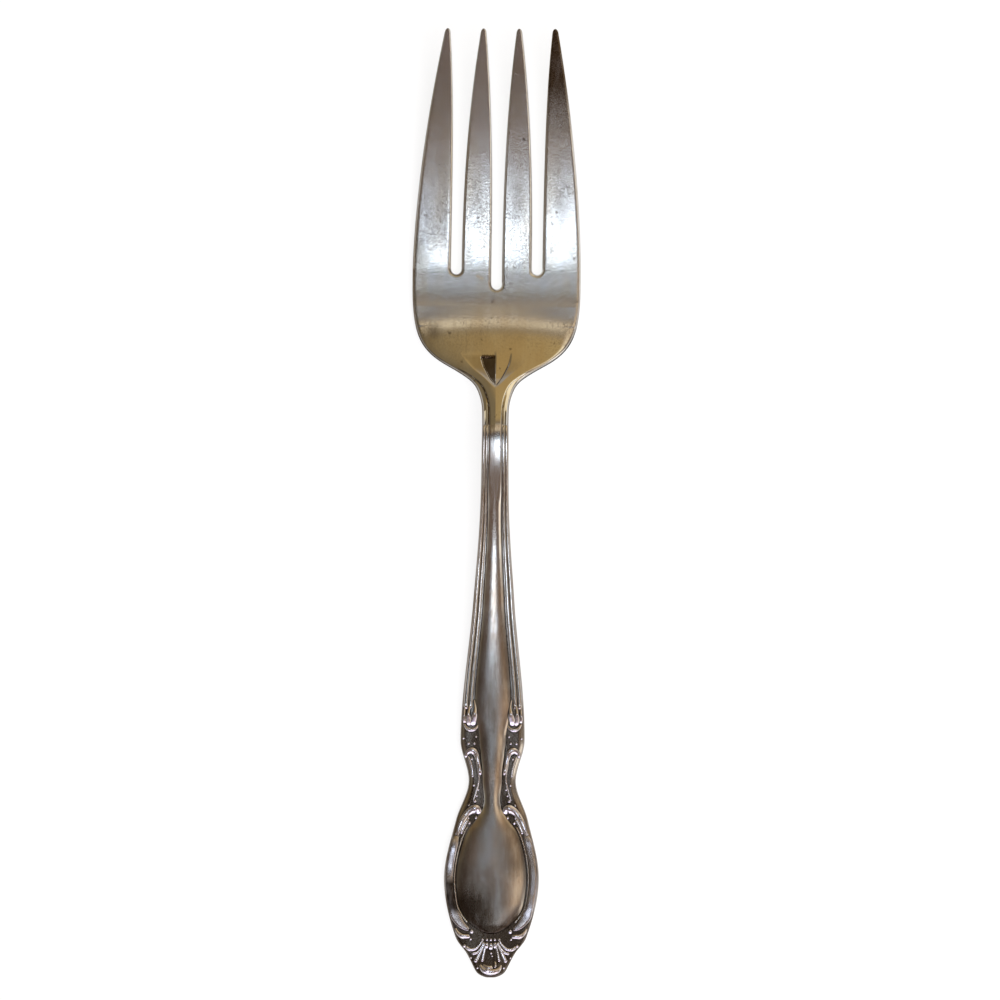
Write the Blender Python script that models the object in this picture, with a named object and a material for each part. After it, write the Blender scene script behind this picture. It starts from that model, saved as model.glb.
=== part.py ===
"""Meat fork: a silver-plated serving fork with four tines, in metres.

It lies on its back on the table. +Y points to the tines, +Z up, and the origin is on the table under
the middle of its length. Reach is the distance along the fork from the tip of the handle.
"""

import math

import bmesh
import bpy
import numpy as np
from mathutils import Vector

# Lengths along the fork, one after the other from the tip of the handle
LOBE_LENGTH = 0.0055
SHELL_LENGTH = 0.0037
BELLY_LENGTH = 0.0131
SHOULDER_LENGTH = 0.0137
PINCH_LENGTH = 0.0089
KNEE_LENGTH = 0.0093
STEM_LENGTH = 0.0319
NECK_LENGTH = 0.0229
ARCH_LENGTH = 0.0170
COLLAR_LENGTH = 0.00365
PALM_LENGTH = 0.0084
TINE_LENGTH = 0.0592

# Widths of the handle at the ends of those lengths
TIP_WIDTH = 0.0058
TIP_RADIUS = 0.0046
LOBE_WIDTH = 0.0110
SHELL_WIDTH = 0.0166
BELLY_WIDTH = 0.0217
SHOULDER_WIDTH = 0.0163
WAIST_WIDTH = 0.0107
KNEE_WIDTH = 0.0146
STEM_WIDTH = 0.0093
NECK_WIDTH = 0.0064
JOINT_WIDTH = 0.0060

# Ledge beside the smooth middle panel, which carries the ornament
BELLY_LEDGE = 0.0027
SHOULDER_LEDGE = 0.0044
VOLUTE_LEDGE = 0.0049
WAIST_LEDGE = 0.0030
KNEE_LEDGE = 0.0042
PETAL_LEDGE = 0.0028
STEM_LEDGE = 0.0022
NECK_LEDGE = 0.0016
PANEL_CROWN = 0.0008
PANEL_ROUND = 0.0030
PANEL_FOOT = 0.0008
PANEL_LEAST = 0.0004

# Side view: height of the back above the table, and thickness from the back to the ledge
TIP_LIFT = 0.0008
HANDLE_REST_LENGTH = 0.0055
KNEE_LIFT = 0.0012
STEM_LIFT = 0.0024
NECK_LIFT = 0.0050
ARCH_LIFT = 0.0070
ARCH_ROUND = 0.0045
ARCH_DROP = 0.00028
HEAD_REST_START = 0.0020
HEAD_REST_LENGTH = 0.0032
TINE_LIFT = 0.0114
TIP_THICKNESS = 0.0018
BELLY_THICKNESS = 0.0021
KNEE_THICKNESS = 0.0026
JOINT_THICKNESS = 0.0034
PALM_THICKNESS = 0.0023
TINE_THICKNESS = 0.0009

# Head: palm, shoulders and tines
PALM_WIDTH = 0.0383
PALM_FLARE = 0.00065
PALM_FLARE_LENGTH = 0.0045
SHOULDER_RADIUS = 0.0080
SHOULDER_ANGLE = math.radians(33)
HEEL_RADIUS = 0.0080
HEEL_POINT = 0.0090
HEEL_TONGUE_LENGTH = 0.0063
HEEL_TONGUE_WIDTH = 0.0080
HEEL_TONGUE_HEIGHT = 0.0003
HEEL_TONGUE_FADE = 0.2
SLOT_WIDTH = 0.0024
SIDE_SLOT_CENTRE = 0.0092
SIDE_SLOT_STEP = 0.0034
INNER_TIP_CENTRE = 0.00405
OUTER_TIP_CENTRE = 0.0122
TINE_TIP_WIDTH = 0.0011
TINE_TIP_ROUND = 0.0008
TINE_END_SHARE = 0.4
INNER_TINE_BOWS = (2.7, 2.4)
OUTER_TINE_BOWS = (4.0, 1.7)

# Soldered joints: the head's tang in the neck, and the mounts on the ledge
TANG_LENGTH = 0.0070
TANG_WIDTH = 0.0024
TANG_HEIGHT = 0.0016
TANG_CLEARANCE = 0.0001
TANG_HOLD = 0.0030
SOLDER_GAP = 0.0001

# Reeds and petals beside the stem
REED_SHARE = 0.5
REED_FILL = 0.36
REED_HEIGHT = 0.0006
PETALS_A_SIDE = 3
PETAL_ROOT = 0.0074
PETAL_LENGTH = 0.0050
PETAL_SCALLOP = 0.0006
PETAL_INNER_MARGIN = 0.0001
PETAL_OUTER_MARGIN = 0.0009
PETAL_ROOT_SHARE = 0.35
PETAL_HEIGHT = 0.0010
PETAL_LEAST_SHARE = 0.3

# Scrolls and beads, as (share of the ledge from panel to outline, share of the way to the next station,
# half-width). A share of the way below 0 goes back to the station before.
STROKE_HEIGHT = 1.1
WAIST_SCROLL = (
    (0.80, 0.65, 0.00042),
    (0.74, 0.77, 0.00048),
    (0.46, 0.85, 0.00055),
    (0.20, 0.71, 0.00045),
    (0.17, 0.45, 0.00036),
    (0.20, 0.19, 0.00030),
    (0.36, 0.00, 0.00027),
    (0.58, -0.22, 0.00025),
    (0.70, -0.54, 0.00018),
)
BEADS = 3
BEAD_WAIST_SHARE = 0.45
BEAD_DROP_START = (0.22, -0.24, 0.00036)
BEAD_DROP_END = (0.36, -0.51, 0.00045)
VOLUTE_TOP = 0.29
RIM_SHOULDER = (
    (0.60, -0.22, 0.00062),
    (0.66, 0.02, 0.00058),
    (0.62, 0.20, 0.00068),
    (0.45, VOLUTE_TOP, 0.00078),
    (0.25, 0.28, 0.00070),
    (0.15, 0.20, 0.00045),
)

# Border of the cartouche: the rim fills the ledge between a plain edge and the thin inner rim
RIM_OUTER_MARGIN = 0.00035
RIM_GAP = 0.0002
INNER_RIM_OFFSET = 0.00033
INNER_RIM_HALF_WIDTH = 0.00022
RIM_HALF_WIDTH = (BELLY_LEDGE - RIM_OUTER_MARGIN - RIM_GAP - INNER_RIM_OFFSET - INNER_RIM_HALF_WIDTH) / 2
RIM_INSET = RIM_OUTER_MARGIN + RIM_HALF_WIDTH
RIM_RUN_START = 0.0030
RIM_RUN_END = 0.0060
INNER_RIM_START = 0.0038
INNER_RIM_END = 0.0004
# The rim's foot turns in over the shell: (inset from the outline, reach past the shell's root, half-width)
RIM_FOOT = (
    (0.0032, 0.0010, 0.00050),
    (0.0029, 0.0003, 0.00056),
    (0.0020, 0.0003, 0.00052),
    (0.0014, 0.0014, 0.00052),
)

# Shell and boss at the tip
SHELL_RIBS = 9
SHELL_SPREAD = math.radians(68)
SHELL_ROOT_RADIUS = 0.0011
SHELL_MARGIN = 0.0006
SHELL_STEP = 0.00005
SHELL_CENTRE_SHARE = 0.42
SHELL_HOLLOW_SHARE = 0.3
SHELL_SCALLOP = 0.10
SHELL_HEIGHT = 0.0009
SHELL_LEAST_SHARE = 0.35
SHELL_ROOT_SHARE = 0.4
BOSS_REACH = 0.0018
BOSS_LENGTH = 0.0020
BOSS_WIDTH = 0.0044
BOSS_HEIGHT = 0.0007
BOSS_LEAST_SHARE = 0.15

# Stations, as reach from the tip of the handle
LOBE = LOBE_LENGTH
SHELL_ROOT = LOBE + SHELL_LENGTH
BELLY = SHELL_ROOT + BELLY_LENGTH
SHOULDER = BELLY + SHOULDER_LENGTH
WAIST = SHOULDER + PINCH_LENGTH
KNEE = WAIST + KNEE_LENGTH
STEM = KNEE + STEM_LENGTH
NECK = STEM + NECK_LENGTH
JOINT = NECK + ARCH_LENGTH
TIP_START = 0.02 * TIP_RADIUS
PANEL_END = SHELL_ROOT + PANEL_FOOT
HANDLE_REST = PANEL_END - HANDLE_REST_LENGTH
PETALS = KNEE + PETAL_ROOT

# The head's outline: heel fillet, straight shoulder and round shoulder, each tangent to the next
SHOULDER_RISE = math.sin(SHOULDER_ANGLE)
SHOULDER_RUN = math.cos(SHOULDER_ANGLE)
HEEL_X = JOINT_WIDTH / 2 + HEEL_RADIUS
ROUND_X = PALM_WIDTH / 2 - PALM_FLARE - SHOULDER_RADIUS
HEEL = JOINT + COLLAR_LENGTH
HEEL_END = HEEL + HEEL_RADIUS * SHOULDER_RUN
PALM = HEEL + (HEEL_RADIUS + SHOULDER_RADIUS - (HEEL_X - ROUND_X) * SHOULDER_RISE) / SHOULDER_RUN
ROUND_START = PALM - SHOULDER_RADIUS * SHOULDER_RUN
SLOT = PALM + PALM_LENGTH
SIDE_SLOT = SLOT + SIDE_SLOT_STEP
HEAD_REST = PALM + HEAD_REST_START
FORK_LENGTH = SLOT + TINE_LENGTH

# Shares of a section that shape its rounding
ROUNDING_POWER = 10
CROWN_POWER = 2.2
BACK_FLAT_SHARE = 0.55
BACK_ROUND_SHARE = 0.45
RIM_DROP_SHARE = 0.22
EDGE_SHARE = 0.25
PANEL_MOST_SHARE = 0.9
SHARP_ANGLE = math.radians(35)


def smooth_through(*knots):
    """A smooth curve through (reach, value) knots that never swings past them."""
    reach, value = (np.array(column) for column in zip(*knots))
    gap = np.diff(reach)
    rise = np.diff(value) / gap
    slope = np.zeros(len(knots))
    for i in range(1, len(gap)):
        if rise[i - 1] * rise[i] > 0:
            before = gap[i - 1] + 2 * gap[i]
            after = 2 * gap[i - 1] + gap[i]
            slope[i] = (before + after) / (before / rise[i - 1] + after / rise[i])
    slope[0] = 1.5 * rise[0] - 0.5 * slope[1]
    slope[-1] = 1.5 * rise[-1] - 0.5 * slope[-2]

    def at(where):
        i = min(max(int(np.searchsorted(reach, where)) - 1, 0), len(gap) - 1)
        t = min(max((where - reach[i]) / gap[i], 0.0), 1.0)
        bend = t * (1 - t) * gap[i] * ((1 - t) * (slope[i] - rise[i]) - t * (slope[i + 1] - rise[i]))
        return float(value[i] + t * gap[i] * rise[i] + bend)

    return at


def along(share, before, station, after):
    """Reach at a share of the way from a station to the one after it, or to the one before if below 0."""
    return station + share * (after - station if share > 0 else station - before)


sides = smooth_through(
    (0.0, TIP_WIDTH / 2),
    (LOBE, LOBE_WIDTH / 2),
    (SHELL_ROOT, SHELL_WIDTH / 2),
    (BELLY, BELLY_WIDTH / 2),
    (SHOULDER, SHOULDER_WIDTH / 2),
    (WAIST, WAIST_WIDTH / 2),
    (KNEE, KNEE_WIDTH / 2),
    (STEM, STEM_WIDTH / 2),
    (NECK, NECK_WIDTH / 2),
    (JOINT, JOINT_WIDTH / 2),
)
ledge_width = smooth_through(
    (BELLY, BELLY_LEDGE),
    (SHOULDER, SHOULDER_LEDGE),
    (along(VOLUTE_TOP, BELLY, SHOULDER, WAIST), VOLUTE_LEDGE),
    (WAIST, WAIST_LEDGE),
    (KNEE, KNEE_LEDGE),
    (PETALS, PETAL_LEDGE),
    (STEM, STEM_LEDGE),
    (NECK, NECK_LEDGE),
)
back = smooth_through(
    (0.0, TIP_LIFT),
    (HANDLE_REST, 0.0),
    (PANEL_END, 0.0),
    (KNEE, KNEE_LIFT),
    (STEM, STEM_LIFT),
    (NECK, NECK_LIFT),
    (JOINT - ARCH_ROUND, ARCH_LIFT - ARCH_DROP),
    (JOINT, ARCH_LIFT),
    (HEAD_REST, 0.0),
    (HEAD_REST + HEAD_REST_LENGTH, 0.0),
    (FORK_LENGTH, TINE_LIFT),
)
thickness = smooth_through(
    (0.0, TIP_THICKNESS),
    (BELLY, BELLY_THICKNESS),
    (KNEE, KNEE_THICKNESS),
    (JOINT, JOINT_THICKNESS),
    (PALM, PALM_THICKNESS),
    (FORK_LENGTH, TINE_THICKNESS),
)


def outline(reach):
    """Half-width of the handle, its tip rounded off to TIP_RADIUS."""
    round_tip = math.sqrt(2 * TIP_RADIUS * max(reach, TIP_START))
    straight = sides(reach)
    return straight * (1 + (straight / round_tip) ** ROUNDING_POWER) ** (-1 / ROUNDING_POWER)


def panel_opening(reach):
    """0 at the panel's round foot, 1 where it has its full width."""
    return min(max((reach - PANEL_END) / PANEL_ROUND, 0.0), 1.0)


def panel(reach):
    """Half-width of the smooth middle panel."""
    opening = panel_opening(reach)
    full = outline(reach) - ledge_width(reach)
    wide = full * math.sqrt(1 - (1 - opening) ** 2)
    return min(max(wide, PANEL_LEAST), PANEL_MOST_SHARE * outline(reach))


def ledge(reach):
    """Height of the ledge above the table."""
    return back(reach) + thickness(reach)


def crown(x, reach, fade=1.0):
    """Rise of the panel above the ledge."""
    across = min(abs(x) / panel(reach), 1.0)
    swell = (1 - across**CROWN_POWER) ** (1 / CROWN_POWER)
    return PANEL_CROWN * math.sin(math.pi / 2 * panel_opening(reach)) * swell * fade


def back_round(x, half_width):
    """Share of the thickness by which the back rises towards the side."""
    beyond = max(abs(x) / half_width - BACK_FLAT_SHARE, 0.0) / (1 - BACK_FLAT_SHARE)
    return BACK_ROUND_SHARE * beyond**2


def place(x, reach, z):
    """A point of the fork, from the middle of its length on the table."""
    return Vector((x, reach - (TIP_START + FORK_LENGTH) / 2, z))


def across_ledge(share, reach):
    """The distance from the axis that lies this share of the way from panel to outline."""
    return panel(reach) + share * (outline(reach) - panel(reach))


def runs(*stops):
    """Values that go from stop to stop in even steps; each stop after the first gives (value, steps)."""
    values = [stops[0]]
    for stop, steps in stops[1:]:
        values += list(np.linspace(values[-1], stop, steps + 1)[1:])
    return [float(value) for value in values]


# Materials
def silver(name, colour, roughness):
    material = bpy.data.materials.new(name)
    material.use_nodes = True
    shader = material.node_tree.nodes["Principled BSDF"]
    shader.inputs["Base Color"].default_value = (*colour, 1.0)
    shader.inputs["Roughness"].default_value = roughness
    shader.inputs["Metallic"].default_value = 1.0
    return material


# Ways of making a solid
def finish(name, mesh, material, parent):
    bmesh.ops.recalc_face_normals(mesh, faces=mesh.faces)
    data = bpy.data.meshes.new(name)
    mesh.to_mesh(data)
    mesh.free()
    data.shade_smooth()
    data.set_sharp_from_angle(angle=SHARP_ANGLE)
    data.materials.append(material)
    piece = bpy.data.objects.new(name, data)
    piece.parent = parent
    bpy.context.scene.collection.objects.link(piece)
    return piece


def solid_between(name, points, cells, bottom, top, material, parent):
    """A closed solid over cells drawn in plan, each point having x, reach and how much of an edge it is."""
    mesh = bmesh.new()
    upper = [mesh.verts.new(place(x, reach, top(x, reach, edge))) for x, reach, edge in points]
    lower = [mesh.verts.new(place(x, reach, bottom(x, reach, edge))) for x, reach, edge in points]
    borders = set()
    for cell in cells:
        mesh.faces.new([upper[i] for i in cell])
        mesh.faces.new([lower[i] for i in reversed(cell)])
        for border in zip(cell, cell[1:] + cell[:1]):
            if border[::-1] in borders:
                borders.remove(border[::-1])
            else:
                borders.add(border)
    for a, b in sorted(borders):
        mesh.faces.new([upper[b], upper[a], lower[a], lower[b]])
    return finish(name, mesh, material, parent)


def grid_cells(rows, columns, first=0):
    """Four-cornered cells of a grid whose points are numbered row by row."""
    cells = []
    for row in range(rows - 1):
        for column in range(columns - 1):
            corner = first + row * columns + column
            cells.append((corner, corner + 1, corner + columns + 1, corner + columns))
    return cells


def curve_through(knots, steps):
    """Points of a smooth curve through the knots, each an (x, reach, half-width)."""
    knots = [np.array(knot) for knot in knots]
    ends = [2 * knots[0] - knots[1], *knots, 2 * knots[-1] - knots[-2]]
    points = []
    for a, b, c, d in zip(ends, ends[1:], ends[2:], ends[3:]):
        for t in np.arange(steps) / steps:
            swing = (c - a) * t + (2 * a - 5 * b + 4 * c - d) * t**2 + (3 * b - a - 3 * c + d) * t**3
            points.append(b + swing / 2)
    return points + [knots[-1]]


ROUND_SECTION = [(math.cos(math.pi * i / 6), math.sin(math.pi * i / 6)) for i in range(7)]
DOUBLE_REED_SECTION = [
    (1.0, 0.0),
    (0.92, 0.7),
    (0.6, 1.0),
    (0.25, 0.8),
    (0.0, 0.35),
    (-0.25, 0.8),
    (-0.6, 1.0),
    (-0.92, 0.7),
    (-1.0, 0.0),
]


def stroke(name, points, side, section, height, material, parent):
    """A raised line on the ledge: the section follows the points, which are (x, reach, half-width)."""
    plan = np.array([(side * x, reach) for x, reach, _ in points])
    along = np.gradient(plan, axis=0)
    along /= np.linalg.norm(along, axis=1)[:, None]
    mesh = bmesh.new()
    rings = []
    for (x, reach), (run_x, run_y), (_, _, half) in zip(plan, along, points):
        ring = []
        for out, up in section:
            at_reach = reach + out * half * run_x
            z = ledge(at_reach) + SOLDER_GAP + up * height(half)
            ring.append(mesh.verts.new(place(x - out * half * run_y, at_reach, z)))
        rings.append(ring)
    for near, far in zip(rings, rings[1:]):
        for i in range(len(section)):
            j = (i + 1) % len(section)
            mesh.faces.new((near[i], near[j], far[j], far[i]))
    mesh.faces.new(rings[0][::-1])
    mesh.faces.new(rings[-1])
    return finish(name, mesh, material, parent)


def on_ledge(knots, *stations):
    """Knots given by shares across the ledge and along the stations, as (x, reach, half-width)."""
    places = [(share, along(way, *stations), half) for share, way, half in knots]
    return [(across_ledge(share, reach), reach, half) for share, reach, half in places]


def seat(x, reach, edge):
    """Underside of a mount, a film of solder above the ledge."""
    return ledge(reach) + SOLDER_GAP


# Handle: cartouche plate, waist, knee, stem and neck, with a blind socket for the tang
def make_handle(material, parent):
    tip_rows = 7
    reaches = [TIP_START] + [HANDLE_REST * (row / tip_rows) ** 1.8 for row in range(2, tip_rows)]
    reaches += runs(
        HANDLE_REST,
        (PANEL_END, 4),
        (PANEL_END + PANEL_ROUND, 5),
        (BELLY, 5),
        (SHOULDER, 8),
        (WAIST, 7),
        (KNEE, 6),
        (STEM, 11),
        (NECK, 8),
        (JOINT - SOLDER_GAP / 2, 7),
    )
    panel_shares = (0.0, 0.36, 0.66, 0.85, 0.96, 1.0)
    ledge_shares = (0.5, 0.92, 1.0)
    points = []
    for reach in reaches:
        half = [share * panel(reach) for share in panel_shares]
        half += [across_ledge(share, reach) for share in ledge_shares]
        for x in [-x for x in half[:0:-1]] + half:
            points.append((x, reach, float(abs(x) >= half[-1])))

    def top(x, reach, edge):
        return ledge(reach) + crown(x, reach) - RIM_DROP_SHARE * edge * thickness(reach)

    def bottom(x, reach, edge):
        return back(reach) + back_round(x, outline(reach)) * thickness(reach)

    columns = len(points) // len(reaches)
    cells = grid_cells(len(reaches), columns)
    handle = solid_between("handle", points, cells, bottom, top, material, parent)
    socket = tang_block("tang_socket", TANG_CLEARANCE, SOLDER_GAP, parent)
    cut = handle.modifiers.new("socket", "BOOLEAN")
    cut.operation = "DIFFERENCE"
    cut.object = socket
    return handle


def tang_block(name, clearance, past_joint, parent):
    """The tang's block, from its blind end to past_joint beyond the solder seam, grown by the clearance."""
    start = JOINT - TANG_LENGTH - clearance
    end = JOINT + past_joint
    low = back(JOINT) + (thickness(JOINT) - TANG_HEIGHT) / 2 - clearance
    high = low + TANG_HEIGHT + 2 * clearance
    half = TANG_WIDTH / 2 + clearance
    points = [(x, reach, 0.0) for reach in (start, end) for x in (-half, half)]
    cells = grid_cells(2, 2)
    block = solid_between(name, points, cells, lambda *_: low, lambda *_: high, None, parent)
    block.hide_render = True
    block.display_type = "WIRE"
    return block


# Head: tang, root, palm and four tines
def head_half_width(reach):
    """Half-width of the root and palm: neck, heel fillet, straight shoulder, round shoulder, flare."""
    if reach <= HEEL:
        return JOINT_WIDTH / 2
    if reach <= HEEL_END:
        return HEEL_X - math.sqrt(HEEL_RADIUS**2 - (reach - HEEL) ** 2)
    if reach <= ROUND_START:
        return HEEL_X - HEEL_RADIUS * SHOULDER_RISE + (reach - HEEL_END) * SHOULDER_RUN / SHOULDER_RISE
    if reach <= PALM:
        return ROUND_X + math.sqrt(SHOULDER_RADIUS**2 - (PALM - reach) ** 2)
    flare = min((reach - PALM) / PALM_FLARE_LENGTH, 1.0)
    return PALM_WIDTH / 2 - PALM_FLARE * (1 - (3 - 2 * flare) * flare**2)


def tine_edge(root_x, tip_x, bow):
    """The x of a tine's edge by reach: it leaves root_x slowly and bows to tip_x."""

    def at(reach):
        t = max((reach - SIDE_SLOT) / (FORK_LENGTH - SIDE_SLOT), 0.0)
        return root_x + (tip_x - root_x) * t**bow

    return at


def tine_edges():
    """Inner and outer edge of the inner and of the outer tine."""
    half_slot = SLOT_WIDTH / 2
    half_tip = TINE_TIP_WIDTH / 2
    inner = (
        tine_edge(half_slot, INNER_TIP_CENTRE - half_tip, INNER_TINE_BOWS[0]),
        tine_edge(SIDE_SLOT_CENTRE - half_slot, INNER_TIP_CENTRE + half_tip, INNER_TINE_BOWS[1]),
    )
    outer = (
        tine_edge(SIDE_SLOT_CENTRE + half_slot, OUTER_TIP_CENTRE - half_tip, OUTER_TINE_BOWS[0]),
        tine_edge(PALM_WIDTH / 2, OUTER_TIP_CENTRE + half_tip, OUTER_TINE_BOWS[1]),
    )
    return inner, outer


def heel_relief(x, reach):
    """Keeled tongue that runs from a point at the neck into the palm."""
    past = (reach - JOINT - HEEL_POINT) / HEEL_TONGUE_LENGTH
    fade = min((1 + HEEL_TONGUE_FADE - past) / HEEL_TONGUE_FADE, 1.0)
    if past <= 0 or fade <= 0:
        return 0.0
    across = abs(x) / (HEEL_TONGUE_WIDTH / 2 * past)
    return HEEL_TONGUE_HEIGHT * max(1 - across, 0.0) * fade


def make_fork_head(material, parent):
    half_slot = SLOT_WIDTH / 2
    centre_root = SLOT + half_slot
    side_root = SIDE_SLOT + half_slot
    inner, outer = tine_edges()
    tine_shares = (0.0, 0.12, 0.50, 0.88, 1.0)
    arc = [math.pi / 2 * i / 3 for i in range(4)]

    # Columns across the right half where the slots end: (x, reach, edge)
    columns = [(half_slot * math.sin(a), centre_root - half_slot * math.cos(a), 1.0) for a in arc]
    slot_edge = SIDE_SLOT_CENTRE - half_slot
    for share in tine_shares[1:-1]:
        x = half_slot + share * (slot_edge - half_slot)
        columns.append((x, centre_root + share * (side_root - centre_root), 0.0))
    for a in [-a for a in arc[::-1]] + arc[1:]:
        x = SIDE_SLOT_CENTRE + half_slot * math.sin(a)
        columns.append((x, side_root - half_slot * math.cos(a), 1.0))
    for share in tine_shares[1:]:
        x = outer[0](0.0) + share * (PALM_WIDTH / 2 - outer[0](0.0))
        columns.append((x, side_root, float(share == 1.0)))
    columns = [(-x, reach, edge) for x, reach, edge in columns[:0:-1]] + columns

    start = JOINT + SOLDER_GAP / 2
    rows = runs(start, (HEEL, 3), (HEEL_END, 7), (ROUND_START, 6), (PALM, 6), (centre_root, 6))
    points = []
    for row in rows:
        share = (row - start) / (centre_root - start)
        for x, root, edge in columns:
            reach = start + share * (root - start)
            at_side = abs(x) == PALM_WIDTH / 2
            is_edge = edge if at_side or row == rows[-1] else 0.0
            wide = 2 * head_half_width(reach) / PALM_WIDTH
            points.append((x * wide, reach, is_edge))
    cells = grid_cells(len(rows), len(columns))

    # Tines: each carries on from its own columns of the last palm row
    last_row = (len(rows) - 1) * len(columns)
    tine_rows = 12
    steps = [(row / tine_rows) ** 1.2 for row in range(1, tine_rows)]
    steps += [1 - TINE_TIP_ROUND / TINE_LENGTH, 1.0]
    for mirror in (-1, 1):
        for edge_in, edge_out in (inner, outer):
            low, high = edge_in(0.0), edge_out(0.0)
            grown = [
                i
                for i, (x, _, _) in enumerate(columns)
                if low - 1e-9 <= mirror * x <= high + 1e-9
            ]
            near = [last_row + i for i in grown]
            for step in steps:
                far = []
                for i in grown:
                    x, root, _ = columns[i]
                    share = (mirror * x - low) / (high - low)
                    reach = root + step * (FORK_LENGTH - root)
                    if step == 1.0:
                        share = 0.5 + TINE_END_SHARE * (share - 0.5)
                    wide = edge_in(reach) + share * (edge_out(reach) - edge_in(reach))
                    far.append(len(points))
                    points.append((mirror * wide, reach, float(i in (grown[0], grown[-1]))))
                for a, b, c, d in zip(near, near[1:], far[1:], far):
                    cells.append((a, b, c, d))
                near = far

    def root_fade(reach):
        """1 at the neck, where the section is the handle's, 0 from the palm on."""
        return min(max((PALM - reach) / (PALM - JOINT), 0.0), 1.0)

    def top(x, reach, edge):
        ridge = crown(x, min(reach, JOINT), root_fade(reach) ** 2)
        return ledge(reach) + ridge + heel_relief(x, reach) - EDGE_SHARE * edge * thickness(reach)

    def bottom(x, reach, edge):
        fade = root_fade(reach)
        rounding = fade * back_round(x, head_half_width(reach)) + (1 - fade) * EDGE_SHARE * edge
        return back(reach) + rounding * thickness(reach)

    head = solid_between("fork_head", points, cells, bottom, top, material, parent)
    tang = tang_block("tang", 0.0, TANG_HOLD, parent)
    join = head.modifiers.new("tang", "BOOLEAN")
    join.operation = "UNION"
    join.object = tang
    return head


# Mounts on the ledge, one set on each side
def make_stem_reed(name, side, material, parent):
    reaches = np.linspace(PETALS + SOLDER_GAP, JOINT - SOLDER_GAP, 26)
    points = []
    for reach in reaches:
        half = REED_FILL * (outline(reach) - panel(reach))
        points.append((across_ledge(REED_SHARE, reach), reach, half))
    stroke(name, points, side, DOUBLE_REED_SECTION, lambda half: REED_HEIGHT, material, parent)


def make_petals(name, side, material, parent):
    """Petals that hang side by side from the foot of the reeds and spread over the ledge."""
    rows = 6
    across = 6 * PETALS_A_SIDE
    points = []
    for row in range(rows):
        down = row / (rows - 1)
        for i in range(across + 1):
            turn = 2 * i / across - 1
            lobe = abs(math.sin(math.pi * i * PETALS_A_SIDE / across))
            reach = PETALS - SOLDER_GAP - down * (PETAL_LENGTH + PETAL_SCALLOP * (lobe - turn**2))
            inner = panel(reach) + PETAL_INNER_MARGIN
            outer = outline(reach) - PETAL_OUTER_MARGIN
            spread = PETAL_ROOT_SHARE + (1 - PETAL_ROOT_SHARE) * down**0.8
            x = (inner + outer) / 2 + turn * spread * (outer - inner) / 2
            points.append((side * x, reach, lobe * down))

    def top(x, reach, lobe):
        return seat(x, reach, 0.0) + PETAL_HEIGHT * (PETAL_LEAST_SHARE + (1 - PETAL_LEAST_SHARE) * lobe)

    cells = grid_cells(rows, across + 1)
    solid_between(name, points, cells, seat, top, material, parent)


def stroke_height(half):
    return STROKE_HEIGHT * half


def make_waist_scroll(name, side, material, parent):
    points = curve_through(on_ledge(WAIST_SCROLL, SHOULDER, WAIST, KNEE), 5)
    stroke(name, points, side, ROUND_SECTION, stroke_height, material, parent)


def make_bead_drop(name, side, material, parent):
    """A row of beads that grow towards the shoulder, run together as one casting."""
    ends = on_ledge((BEAD_DROP_START, BEAD_DROP_END), SHOULDER, WAIST, KNEE)
    first, last = (np.array(end) for end in ends)
    points = []
    steps = 8 * BEADS
    for i in range(steps + 1):
        x, reach, half = first + (last - first) * i / steps
        swell = abs(math.sin(math.pi * BEADS * i / steps))
        points.append((x, reach, half * (BEAD_WAIST_SHARE + (1 - BEAD_WAIST_SHARE) * swell)))
    stroke(name, points, side, ROUND_SECTION, stroke_height, material, parent)


def make_rim_scroll(name, side, material, parent):
    """The raised border of the cartouche: volute at the shoulder, long rim, curled foot."""
    knots = [(outline(SHELL_ROOT + past) - inset, SHELL_ROOT + past, half) for inset, past, half in RIM_FOOT]
    for reach in np.linspace(SHELL_ROOT + RIM_RUN_START, SHOULDER - RIM_RUN_END, 6):
        knots.append((outline(reach) - RIM_INSET, reach, RIM_HALF_WIDTH))
    knots += on_ledge(RIM_SHOULDER, BELLY, SHOULDER, WAIST)
    stroke(name, curve_through(knots, 4), side, ROUND_SECTION, stroke_height, material, parent)


def make_inner_rim(name, side, material, parent):
    points = []
    for reach in np.linspace(SHELL_ROOT + INNER_RIM_START, SHOULDER - INNER_RIM_END, 34):
        points.append((panel(reach) + INNER_RIM_OFFSET, float(reach), INNER_RIM_HALF_WIDTH))
    stroke(name, points, side, ROUND_SECTION, stroke_height, material, parent)


# Shell and boss at the tip
def rib_length(turn):
    """How far a rib runs from the fan's root before it nears the outline or the boss."""
    lowest = BOSS_REACH + BOSS_LENGTH / 2 + SHELL_MARGIN
    length = SHELL_ROOT_RADIUS
    reach = SHELL_ROOT - length * math.cos(turn)
    while reach > lowest and abs(length * math.sin(turn)) < outline(reach) - SHELL_MARGIN:
        length += SHELL_STEP
        reach = SHELL_ROOT - length * math.cos(turn)
    return length


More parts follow.
